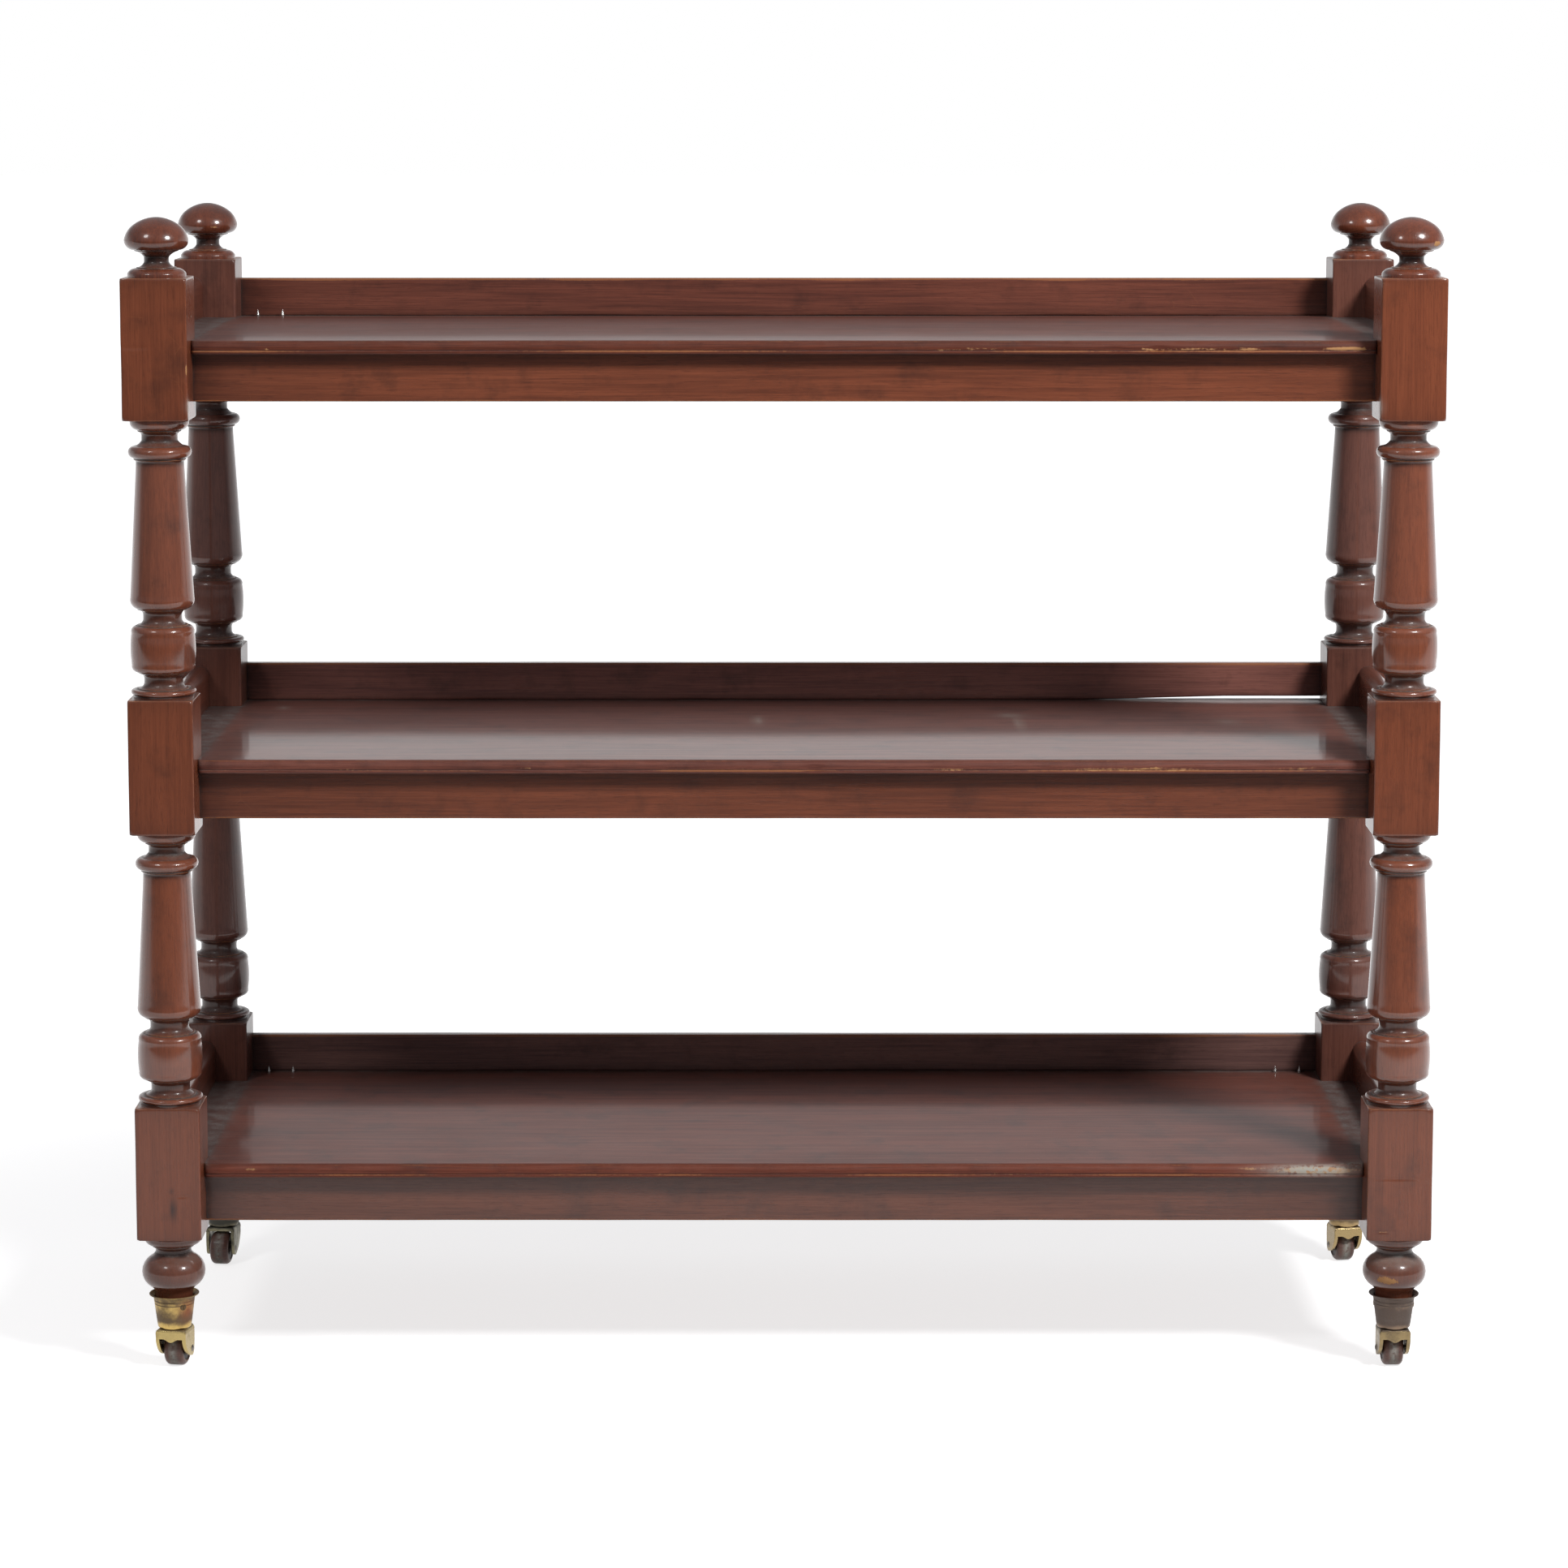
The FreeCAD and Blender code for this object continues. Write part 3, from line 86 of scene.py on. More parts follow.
def downwards(steps, top):
    """The line of a turning whose steps go down from a height, given from its foot up."""
    line = turned_line(steps)
    line[:, 1] = top - line[:, 1]
    return line[::-1]


def eased(line, reach):
    """The line with each corner over 15 degrees cut back by reach on both sides and rounded
    through the middle of the quadratic curve, and how sharply each point turned: the sine of
    the angle, positive on an arris and negative in a quirk."""
    ways = np.diff(line, axis=0)
    lengths = np.linalg.norm(ways, axis=1, keepdims=True)
    ways = ways / lengths
    before, after = ways[:-1], ways[1:]
    turn = before[:, 0] * after[:, 1] - before[:, 1] * after[:, 0]
    sharp = (np.abs(turn) > 0.26) | ((before * after).sum(axis=1) < 0)
    corner = line[1:-1]
    start = corner - before * np.minimum(reach, 0.4 * lengths[:-1])
    end = corner + after * np.minimum(reach, 0.4 * lengths[1:])
    middle = np.where(sharp[:, None], (start + 2 * corner + end) / 4, corner)
    kept = np.stack([sharp, np.ones_like(sharp), sharp], axis=1)
    points = np.stack([start, middle, end], axis=1)[kept]
    turns = np.stack([0 * turn, np.where(sharp, turn, 0), 0 * turn], axis=1)[kept]
    return np.concatenate([line[:1], points, line[-1:]]), np.concatenate([[0], turns, [0]])


def marked_line(line, reach, spread=1.4, hollow_spread=7.0, hollow_depth=1.5):
    """A turned line eased by reach, how near each point is to an arris and how deep in a quirk
    or hollow: its turns spread by a bell curve, and the radius under its local mean."""
    line, turns = eased(line, reach)
    steps = np.r_[0, np.linalg.norm(np.diff(line, axis=0), axis=1)]
    place = np.cumsum(steps)
    apart = place[:, None] - place[None, :]
    near = np.exp(-(apart / spread) ** 2)
    arris = (near * np.maximum(turns, 0)).max(axis=1)
    quirk = (near * np.maximum(-turns, 0)).max(axis=1)
    weight = np.exp(-(apart / hollow_spread) ** 2) * (steps + 0.05)
    mean = (weight * line[:, 0]).sum(axis=1) / weight.sum(axis=1)
    hollow = np.clip((mean - line[:, 0]) / hollow_depth, 0, 1)
    return line, arris, np.clip(1.2 * quirk + 0.8 * hollow, 0, 1)


def ripple(a, b, seed):
    """A smooth unevenness between about -1 and 1 over two coordinates: a third of the sum of
    six sine waves with seeded lengths, directions and phases."""
    rng = np.random.default_rng(seed)
    total = 0
    for _wave in range(6):
        way, phase = rng.uniform(0, 2 * np.pi, 2)
        pitch = rng.uniform(0.6, 1.8)
        total = total + np.sin(pitch * (a * np.cos(way) + b * np.sin(way)) + phase)
    return total / 3


def added(name, data):
    """A new object of the scene."""
    item = bpy.data.objects.new(name, data)
    bpy.context.scene.collection.objects.link(item)
    return item


def surface(name, rows, **marks):
    """A closed skin over rings of points in millimetres (row, column, xyz).  Neighbouring
    rings are joined by quads and the first and last ring by a fan to their middle.  Each mark
    is a value per row and column, kept as an attribute of the mesh."""
    count, around = rows.shape[:2]
    points = np.concatenate([rows.reshape(-1, 3), rows[[0, -1]].mean(axis=1)]) * MM
    ring = np.arange(around)
    onward = np.roll(ring, -1)
    low = np.arange(count - 1)[:, None] * around
    high = low + around
    quads = np.stack([low + ring, low + onward, high + onward, high + ring], axis=-1)
    top = (count - 1) * around
    first_fan = np.stack([onward, ring, np.full(around, count * around)], axis=-1)
    last_fan = np.stack([top + ring, top + onward, np.full(around, count * around + 1)], axis=-1)
    mesh = bpy.data.meshes.new(name)
    mesh.from_pydata(points.tolist(), [], quads.reshape(-1, 4).tolist()
                     + first_fan.tolist() + last_fan.tolist())
    for mark, values in marks.items():
        values = np.broadcast_to(values, (count, around))
        values = np.concatenate([values.ravel(), values[[0, -1]].mean(axis=1)])
        attribute = mesh.attributes.new(mark, "FLOAT", "POINT")
        attribute.data.foreach_set("value", values.astype(np.float32))
    mesh.shade_smooth()
    mesh.set_sharp_from_angle(angle=SHARP_ANGLE)
    return added(name, mesh)


def stand_in(piece, material, node, body="frame"):
    """The piece, in its material, takes the place of a node of the solids on a body."""
    piece.data.materials.append(material)
    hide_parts(node)
    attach(piece, body)


def spots(rows, places):
    """The strongest of some bell-shaped spots (x, y, z, reach in x, y, z, strength)."""
    total = np.zeros(rows.shape[:2])
    for x, y, z, reach_x, reach_y, reach_z, strength in places:
        off = (rows - (x, y, z)) / (reach_x, reach_y, reach_z)
        total = np.maximum(total, strength * np.exp(-(off ** 2).sum(axis=2)))
    return total


# Ring angles: close together round the four arrises, wider over the faces
ARRIS_ANGLES = np.array([-2.6, -1.5, -0.5, 0.5, 1.5, 2.6])
FACE_ANGLES = np.linspace(2.6, 87.4, 15)[1:-1]
post_angles = np.radians(np.concatenate(
    [corner + np.r_[ARRIS_ANGLES, FACE_ANGLES] for corner in (45, 135, 225, 315)]))


def post_rows():
    """One value per ring of an upright from foot to head: radius, height, whether the ring is
    squared, how far its faces are eased back, and its marks."""
    rings = []

    def turned_rings(line):
        line, arris, nook = marked_line(line, 0.45)
        flat = np.zeros(len(line))
        rings.append(np.stack([line[:, 0], line[:, 1], flat, flat, arris, nook], axis=1))

    turned_rings(downwards(FOOT, BLOCKS[0][0]))
    for index, (foot, rise) in enumerate(BLOCKS):
        levels = np.r_[0, 0.15, 0.5, 2, np.arange(4, rise - 3, 1.5),
                       rise - 2, rise - 0.5, rise - 0.15, rise]
        to_end = np.minimum(levels, rise - levels)
        radius = END_RADIUS + END_FILL * np.clip(to_end / END_RISE, 0, 1)
        back = np.interp(to_end, [0, 0.15, 0.5], [0.5, 0.15, 0])
        arris, nook = np.exp(-(to_end / 0.8) ** 2), 0.3 * np.exp(-to_end / 9)
        rings.append(np.stack([radius, foot + levels, 1 + 0 * levels, back, arris, nook], axis=1))
        if index < 2:
            low = turned_line(BALUSTER_BASE)
            high = downwards(BALUSTER_HEAD, BALUSTER_RISE)
            taper = np.linspace(low[-1], high[0], 32)[1:-1]
            turned_rings(np.concatenate([low, taper, high]) + (0, foot + rise))
    return np.concatenate(rings)


def put(tree, kind, inputs=(), **settings):
    """A node of that kind in tree.  inputs gives each input, by name or number, a value or
    the socket that feeds it."""
    node = tree.nodes.new(kind)
    for key, value in settings.items():
        setattr(node, key, value)
    for key, value in dict(inputs).items():
        if isinstance(value, bpy.types.NodeSocket):
            tree.links.new(value, node.inputs[key])
        else:
            node.inputs[key].default_value = value
    return node


def calc(operation, *values, clamp=False):
    """The result of a Math node, in the tree that the first socket among the values is in."""
    tree = next(value.id_data for value in values if isinstance(value, bpy.types.NodeSocket))
    return put(tree, "ShaderNodeMath", enumerate(values), operation=operation,
               use_clamp=clamp).outputs[0]


plus, minus, times, highest = (functools.partial(calc, operation) for operation in
                               ("ADD", "SUBTRACT", "MULTIPLY", "MAXIMUM"))


def moved(operation, place, other):
    """A place after a Vector Math node."""
    return put(place.id_data, "ShaderNodeVectorMath", {0: place, 1: other},
               operation=operation).outputs[0]


def scaled(place, x, y, z):
    """A place multiplied by x, y and z."""
    return moved("MULTIPLY", place, (x, y, z))


def noise(place, scale, detail=3.0, roughness=0.55):
    """The value of a noise, about 0.5 in the mean."""
    return put(place.id_data, "ShaderNodeTexNoise",
               {"Vector": place, "Scale": scale, "Detail": detail,
                "Roughness": roughness}).outputs["Fac"]


def between(value, low, high, start=0.0, end=1.0):
    """value from low to high carried over to start to end, smoothly and not beyond them."""
    return put(value.id_data, "ShaderNodeMapRange",
               {"Value": value, "From Min": low, "From Max": high, "To Min": start, "To Max": end},
               interpolation_type="SMOOTHSTEP").outputs["Result"]


def blend(share, first, second):
    """A colour between first and second."""
    return put(share.id_data, "ShaderNodeMix", {0: share, 6: first, 7: second},
               data_type="RGBA").outputs[2]


def new_group(name, inputs, outputs):
    """A node group with named sockets: the group, what it is given, and a call that feeds its
    results."""
    group = bpy.data.node_groups.new(name, "ShaderNodeTree")
    for way, sockets in (("INPUT", inputs), ("OUTPUT", outputs)):
        for label, kind in sockets.items():
            group.interface.new_socket(label, in_out=way, socket_type=f"NodeSocket{kind}")

    def give(**results):
        put(group, "NodeGroupOutput", results)

    return group, put(group, "NodeGroupInput").outputs, give


# Grain that runs along X: broad ribbons, narrower flames, fine fibres and short dark pores
grain_group, given, give = new_group(
    "wood_grain",
    {"Place": "Vector", "Dark": "Color", "Body": "Color", "Light": "Color", "Figure": "Float"},
    {"Color": "Color", "Height": "Float", "Tone": "Float"})
wander = put(grain_group, "ShaderNodeTexNoise", {"Vector": scaled(given["Place"], 1.3, 8, 8),
                                                 "Scale": 1.0, "Detail": 2.0}).outputs["Color"]
wander = scaled(moved("SUBTRACT", wander, (0.5, 0.5, 0.5)), 0, 0.012, 0.012)
line_place = moved("ADD", given["Place"], wander)
ribbon = noise(scaled(line_place, 2.2, 22, 22), 1.0, 2.0)
flame = noise(scaled(line_place, 5, 150, 150), 1.0)
fibre = noise(scaled(line_place, 14, 700, 700), 1.0)
pore = noise(scaled(line_place, 70, 1300, 1300), 1.0, 1.0)
tone = plus(times(ribbon, 0.27), plus(times(flame, 0.32), times(fibre, 0.41)))
tone = plus(0.5, times(minus(between(tone, 0.32, 0.68), 0.5), given["Figure"]))
lower = blend(times(tone, 2.0, clamp=True), given["Dark"], given["Body"])
upper = blend(calc("MULTIPLY_ADD", tone, 2.0, -1.0, clamp=True), lower, given["Light"])
pores = between(pore, 0.58, 0.70)
give(Color=blend(times(pores, 0.4), upper, given["Dark"]),
     Height=minus(times(fibre, 0.5), pores), Tone=tone)

# Wear: polish rubbed off the arrises in patches, and through to the wood in bruised places
wear_group, given, give = new_group(
    "edge_wear", {"Place": "Vector", "Arris": "Float", "Bare": "Float", "Amount": "Float"},
    {"Rubbed": "Float", "Bare": "Float"})
fine = noise(given["Place"], 260.0, 4.0, 0.65)
patchy = plus(times(fine, 0.5), times(noise(given["Place"], 24.0), 0.7))
rubbed = calc("MULTIPLY_ADD", given["Arris"], given["Amount"], patchy)
streak = noise(scaled(given["Place"], 55, 420, 420), 1.0, 3.0, 0.6)
bruised = plus(given["Bare"], times(plus(fine, streak), 0.5))
give(Rubbed=between(rubbed, 1.02, 1.3), Bare=between(bruised, 0.92, 1.08))

# Grime, dust and painted shade: the nooks are darkened for dark old polish left there and as
# painted shade where they lie in shade, and dust lies on what faces up, thickest there
dust_and_shade_group, given, give = new_group(
    "dust", {"Place": "Vector", "Nook": "Float", "Up": "Float", "Amount": "Float"},
    {"Dust": "Float", "Grime": "Float"})
cloud = noise(given["Place"], 60.0, 6.0, 0.65)
speck = noise(given["Place"], 700.0, 2.0)
grime_and_shade = times(given["Nook"], between(cloud, 0.25, 0.7, 0.75, 1.0))
lie = times(given["Up"], calc("MULTIPLY_ADD", given["Nook"], 0.35, 0.06))
lie = plus(lie, between(given["Nook"], 0.82, 1.0, 0.0, 0.04))
lie = times(lie, between(cloud, 0.3, 0.75, 0.4, 1.4))
lie = times(lie, between(speck, 0.3, 0.7, 0.6, 1.3))
give(Dust=times(lie, given["Amount"], clamp=True), Grime=times(grime_and_shade, 0.95, clamp=True))

# Hairline scratches: pieces of the straight borders of large cells, where a noise lets them
scratch_group, given, give = new_group("scratches", {"Place": "Vector"}, {"Mask": "Float"})
border = put(scratch_group, "ShaderNodeTexVoronoi", {"Vector": given["Place"], "Scale": 30.0},
             feature="DISTANCE_TO_EDGE").outputs["Distance"]
give(Mask=times(between(border, 0.0, 0.007, 1.0, 0.0),
                between(noise(given["Place"], 21.0, 2.0), 0.66, 0.72)))

TURN_TO_X = {"X": (0, 0, 0), "Y": (0, 0, -math.pi / 2), "Z": (0, math.pi / 2, 0)}
TAN = (0.37, 0.135, 0.05, 1)
RAW_WOOD = (0.50, 0.26, 0.115, 1)
# Dark old polish, also used as painted shade in the nooks
GRIME_AND_SHADE = (0.020, 0.013, 0.012, 1)
DUST = (0.30, 0.275, 0.26, 1)
OLD_FILM = (0.46, 0.45, 0.40, 1)
STAIN = (0.012, 0.008, 0.008, 1)


def mark(tree, name):
    """The value of one of the marks kept on the mesh, 0 where the mesh has none."""
    return put(tree, "ShaderNodeAttribute", attribute_name=name).outputs["Fac"]


def grouped(tree, group, **inputs):
    """A node group placed in tree: its outputs."""
    return put(tree, "ShaderNodeGroup", inputs, node_tree=group).outputs


def emptied(owner):
    """The node tree of a material or a world, with nothing in it."""
    owner.use_nodes = True
    owner.node_tree.nodes.clear()
    return owner.node_tree


def shaded(tree, inputs):
    """A material's tree ends in a Principled shader with these inputs."""
    shader = put(tree, "ShaderNodeBsdfPrincipled", inputs)
    put(tree, "ShaderNodeOutputMaterial", {"Surface": shader.outputs[0]})


def polished_wood(name, along, body, spread=0.5, figure=0.8, gloss=0.32, coat=0.3, dust=1.0,
                  wear=0.6, waves=1.5):
    """Polished wood with its grain along an axis: grain, grime and painted shade in the nooks,
    rubbed arrises, scratches, bruises, old film, stains and dust, one over the other.  spread is
    how far the darker and the lighter grain are from the body colour, waves how uneven the planed
    surface is."""
    material = bpy.data.materials.new(name)
    tree = emptied(material)
    place = put(tree, "ShaderNodeTexCoord").outputs["Object"]
    turned = put(tree, "ShaderNodeMapping",
                 {"Vector": place, "Rotation": TURN_TO_X[along]}).outputs[0]
    red, green, blue = body
    darker, lighter = 1 - spread, 1 + 0.8 * spread
    dark = (red * darker, green * darker, blue * (darker + 0.06), 1)
    light = (red * lighter, green * (lighter + 0.04), blue * lighter, 1)
    wood = grouped(tree, grain_group, Place=turned, Dark=dark, Body=(*body, 1), Light=light,
                   Figure=figure)
    worn = grouped(tree, wear_group, Place=turned, Arris=mark(tree, "arris"),
                   Bare=mark(tree, "bare"), Amount=wear)
    normal = put(tree, "ShaderNodeNewGeometry").outputs["Normal"]
    up = highest(put(tree, "ShaderNodeSeparateXYZ", {0: normal}).outputs["Z"], 0.0)
    dust_and_painted_shade = grouped(tree, dust_and_shade_group, Place=place, Nook=mark(tree, "nook"), Up=up, Amount=dust)
    scratched = grouped(tree, scratch_group, Place=place)["Mask"]
    old_polish = between(noise(place, 24.0, 5.0, 0.62), 0.47, 0.75, 0.0, 0.4)
    # Darkened in the nooks and in random blotches of old polish: grime, and painted shade in the
    # nooks
    colour = blend(highest(dust_and_painted_shade["Grime"], old_polish), wood["Color"], GRIME_AND_SHADE)
    colour = blend(times(worn["Rubbed"], 0.7), colour, TAN)
    colour = blend(times(scratched, 0.25), colour, TAN)
    colour = blend(worn["Bare"], colour, RAW_WOOD)
    # A thin film is even, a thick one has flaked off in places
    gaps = between(noise(place, 240.0), 0.38, 0.56, 1.0, 0.0)
    film = mark(tree, "film")
    film = times(film, minus(1.0, times(film, gaps)))
    colour = blend(film, colour, OLD_FILM)
    colour = blend(mark(tree, "stain"), colour, STAIN)
    colour = blend(dust_and_painted_shade["Dust"], colour, DUST)
    covered = highest(highest(dust_and_painted_shade["Dust"], worn["Bare"]), film)
    rough = plus(gloss, times(minus(noise(place, 14.0), 0.5), 0.12))
    rough = plus(rough, times(wood["Tone"], -0.05))
    rough = plus(rough, times(covered, 0.5), clamp=True)
    height = minus(wood["Height"], times(scratched, 1.2))
    height = plus(height, times(dust_and_painted_shade["Dust"], 0.8))
    height = calc("MULTIPLY_ADD", noise(scaled(turned, 2.5, 90, 90), 1.0, 2.0), waves, height)
    bump = put(tree, "ShaderNodeBump", {"Height": height, "Strength": 0.3, "Distance": 0.0001})
    # Where the polish is gone, dirty, rubbed or darkened in a nook there is less coat and less
    # shine
    dull = plus(times(worn["Rubbed"], 0.6), times(dust_and_painted_shade["Grime"], 0.7))
    dull = highest(plus(dull, covered), times(mark(tree, "satin"), 0.5))
    sealed = times(minus(1.0, dull, clamp=True), coat)
    shine = calc("MULTIPLY_ADD", calc("MINIMUM", dull, 1.0), -0.3, 0.5)
    shaded(tree, {"Base Color": colour, "Roughness": rough, "Normal": bump.outputs[0],
                  "Coat Weight": sealed, "Coat Roughness": 0.1, "IOR": 1.38,
                  "Specular IOR Level": shine})
    return material


front_post_wood = polished_wood("mahogany_posts", "Z", (0.215, 0.060, 0.028), figure=0.45,
                                gloss=0.31, coat=0.8)
# Painted shade: the back posts are a darker, greyer copy of the post wood
back_post_wood_painted_shade = polished_wood("mahogany_back_posts_painted_shade", "Z", (0.16, 0.060, 0.042),
                               figure=0.5, gloss=0.38, coat=0.6)

CORNERS = {"front_left": (-1, -1), "front_right": (1, -1), "back_left": (-1, 1),
           "back_right": (1, 1)}
POST_KNOCKS = {
    "front_left": [(-549, -223, 951, 2, 2, 9, 1.0), (-566, -223, 173, 6, 3, 1.2, 0.66),
                   (-600, -223, 972, 12, 2, 1.0, 0.6), (-588, -223, 548, 1, 2, 6, 0.62)],
    "front_right": [(549, -223, 1032, 3, 2, 2.5, 1.0), (563, -223, 139, 9, 2, 1.2, 0.8),
                    (569, -219, 91, 15, 14, 4.6, 1.15), (575, -223, 190.3, 26, 2, 1.0, 0.68),
                    (563, -223, 156, 1, 2, 5, 0.6)],
    "back_left": [(-549, 162, 960, 2, 2, 12, 0.6)],
    "back_right": [(549, 162, 590, 2, 2, 9, 0.6)],
}
POST_FILM = {
    "front_left": [(-549, -219, 918, 2, 4, 6, 0.8), (-560, -200, 108, 18, 20, 3.5, 0.16)],
    "front_right": [(549, -219, 917, 2, 5, 7, 0.8), (579, -200, 108, 40, 22, 4.5, 0.34)],
}
POST_STAINS = {"front_left": [(-575, -223, 160, 2.4, 2, 10, 1.1), (-577, -223, 178, 2, 2, 3, 0.6)]}

post = post_rows()
radius, height, squared, back, row_arris, row_nook = (post[:, [index]] for index in range(6))
cos, sin = np.cos(post_angles), np.sin(post_angles)
major, minor = np.maximum(np.abs(cos), np.abs(sin)), np.minimum(np.abs(cos), np.abs(sin))
both = np.abs(cos) + np.abs(sin)
quadrant = np.floor(post_angles / (np.pi / 2))
to_arris = HALF_POST * np.abs(np.abs(cos) - np.abs(sin)) / major
arris = np.maximum(row_arris, squared * np.exp(-(to_arris / 1.0) ** 2))
# The feet below the blocks are darkened: dust and grime, and painted shade for the weaker light
# low down
nook = np.maximum(row_nook, 0.4 * (height < BLOCKS[0][0] - 2))
for number, (corner, (side, end)) in enumerate(CORNERS.items()):
    # Worn arrises: their rounding wanders along the block, differently on each of the four
    rounding = 1.7 + 0.55 * ripple(height / 16, 9 * quadrant, 10 + number)
    flat = HALF_POST - rounding
    on_arris = flat * both + np.sqrt(np.maximum((flat * both) ** 2 - 2 * flat ** 2
                                                + rounding ** 2, 0))
    square = np.where(minor * HALF_POST / major > flat, on_arris, HALF_POST / major)
    square = square + 0.05 * ripple(height / 30, 3 * post_angles, 20 + number)
    reach = np.where(squared > 0, np.minimum(square, radius) - back / major, radius)
    rows = np.stack([side * POST_X + reach * cos, end * POST_Y + reach * sin,
                     height + 0 * reach], axis=2)
    # A knock takes wood off towards the axis of the post
    knocked = spots(rows, POST_KNOCKS[corner])
    rows[:, :, 0] -= KNOCK_DEPTH * knocked * cos * squared
    rows[:, :, 1] -= KNOCK_DEPTH * knocked * sin * squared
    piece = surface(f"post_{corner}", rows, arris=arris, nook=nook, bare=0.75 * knocked,
                    satin=squared, film=spots(rows, POST_FILM.get(corner, [])),
                    stain=spots(rows, POST_STAINS.get(corner, [])))
    stand_in(piece, front_post_wood if end < 0 else back_post_wood_painted_shade, f"upright_{corner}")

# ----------------------------------------------------------
# Finials.  Turned mahogany: a collar on the post, a thin neck and a flattened knob, glued
# into the post by a spigot.  Handled most, so the knobs are the glossiest part.
POST_TOP = 1035.4
FINIAL = [(0, 27.2), (3.4, 27.2), (5, 18.6, 1.6), (0.9, 18.6), (4.9, 11.5, -1.3), (4.6, 11.5),
          (5.5, 20.4, -0.9), (0.8, 20.4), (8.9, 29.8, 2.7), (14, 21.6, 1.55)]
KNOB_SIDE, KNOB_TOP = 21.6, 7.5
CHIP_DEPTH = 0.5
FINIAL_CHIPS = {"front_right": [(600, -213, 1067.5, 6, 6, 3, 1.15)],
                "back_left": [(-570, 166, 1068, 7, 8, 2, 0.8)],
                "back_right": [(590, 165, 1071, 5, 8, 2, 0.5)]}
finial_wood = polished_wood("mahogany_finials", "Z", (0.165, 0.042, 0.019), gloss=0.28,
                            coat=0.7, dust=0.6)


def lathe(line, columns, x, y):
    """Rings of a turned line (radius, height) round the upright axis through x, y."""
    angles = np.linspace(0, 2 * np.pi, columns, endpoint=False)
    return np.stack([x + line[:, :1] * np.cos(angles), y + line[:, :1] * np.sin(angles),
                     line[:, 1:] + 0 * angles], axis=2)


# The top is an arc that crosses the axis squarely
finial_side = turned_line(FINIAL, 13)
sphere = (KNOB_SIDE ** 2 + KNOB_TOP ** 2) / (2 * KNOB_TOP)
spread = np.arcsin(KNOB_SIDE / sphere) * np.linspace(1, 0, 12)[1:-1]
cap_top = finial_side[-1, 1] + KNOB_TOP
cap = np.stack([sphere * np.sin(spread), cap_top - sphere * (1 - np.cos(spread))], axis=1)
finial_line, finial_arris, finial_nook = marked_line(np.concatenate([finial_side, cap]), 0.5)
for corner, (side, end) in CORNERS.items():
    rows = lathe(finial_line + (0, POST_TOP), 96, side * POST_X, end * POST_Y)
    chipped = spots(rows, FINIAL_CHIPS.get(corner, []))
    rows[:, :, 2] -= CHIP_DEPTH * chipped
    piece = surface(f"finial_knob_{corner}", rows, arris=finial_arris[:, None],
                    nook=finial_nook[:, None], bare=0.8 * chipped)
    stand_in(piece, finial_wood, f"finial_{corner}")

# ----------------------------------------------------------
# Rails.  Three frames of mahogany boards, 45 by 14 mm, tenoned into the blocks: an apron in
# front, a plain rail behind and one at each end.  The aprons keep a warmer polish, darker on
# the lower tiers as painted shade.
INNER_X, INNER_Y, END_X, BACK_Y = 549.0, 162.0, 600.3, 222.0
APRON_FRONT = -183.0
RAIL = (14.0, 45.0)
UNDERSIDES = {"bottom": 185.0, "middle": 572.0, "top": 964.5}


def rounded_ring(low, high, arris, flats=(5, 8)):
    """Rings of a rectangle between low and high corners (across, up) with rounded arrises,
    anticlockwise.  low, high and arris may change from row to row; each side has a few
    points, the outer ones 1.6 mm from the arris."""
    low, high, arris = (np.asarray(value, float) for value in (low, high, arris))
    rings = []
    for turn, (right, up) in enumerate([(1, 0), (1, 1), (0, 1), (0, 0)]):
        centre_across = np.where(right, high[..., 0] - arris, low[..., 0] + arris)
        centre_up = np.where(up, high[..., 1] - arris, low[..., 1] + arris)
        angle = np.radians(turn * 90 - 90 + np.linspace(0, 90, 5))
        rings.append(np.stack([centre_across[..., None] + arris[..., None] * np.cos(angle),
                               centre_up[..., None] + arris[..., None] * np.sin(angle)], axis=-1))
    sides = []
    for turn in range(4):
        start, end = rings[turn][..., -1:, :], rings[(turn + 1) % 4][..., :1, :]
        length = np.linalg.norm(end - start, axis=-1, keepdims=True)
        share = np.linspace(0, 1, flats[(turn + 1) % 2])[None, :, None]
        edge = np.minimum(1.6 / length, 0.3)
        sides += [rings[turn], start + (end - start) * (edge + (1 - 2 * edge) * share)]
    marks = np.concatenate([np.r_[np.ones(5), np.zeros(flats[(turn + 1) % 2])]
                            for turn in range(4)])
    return np.concatenate(sides, axis=-2), marks


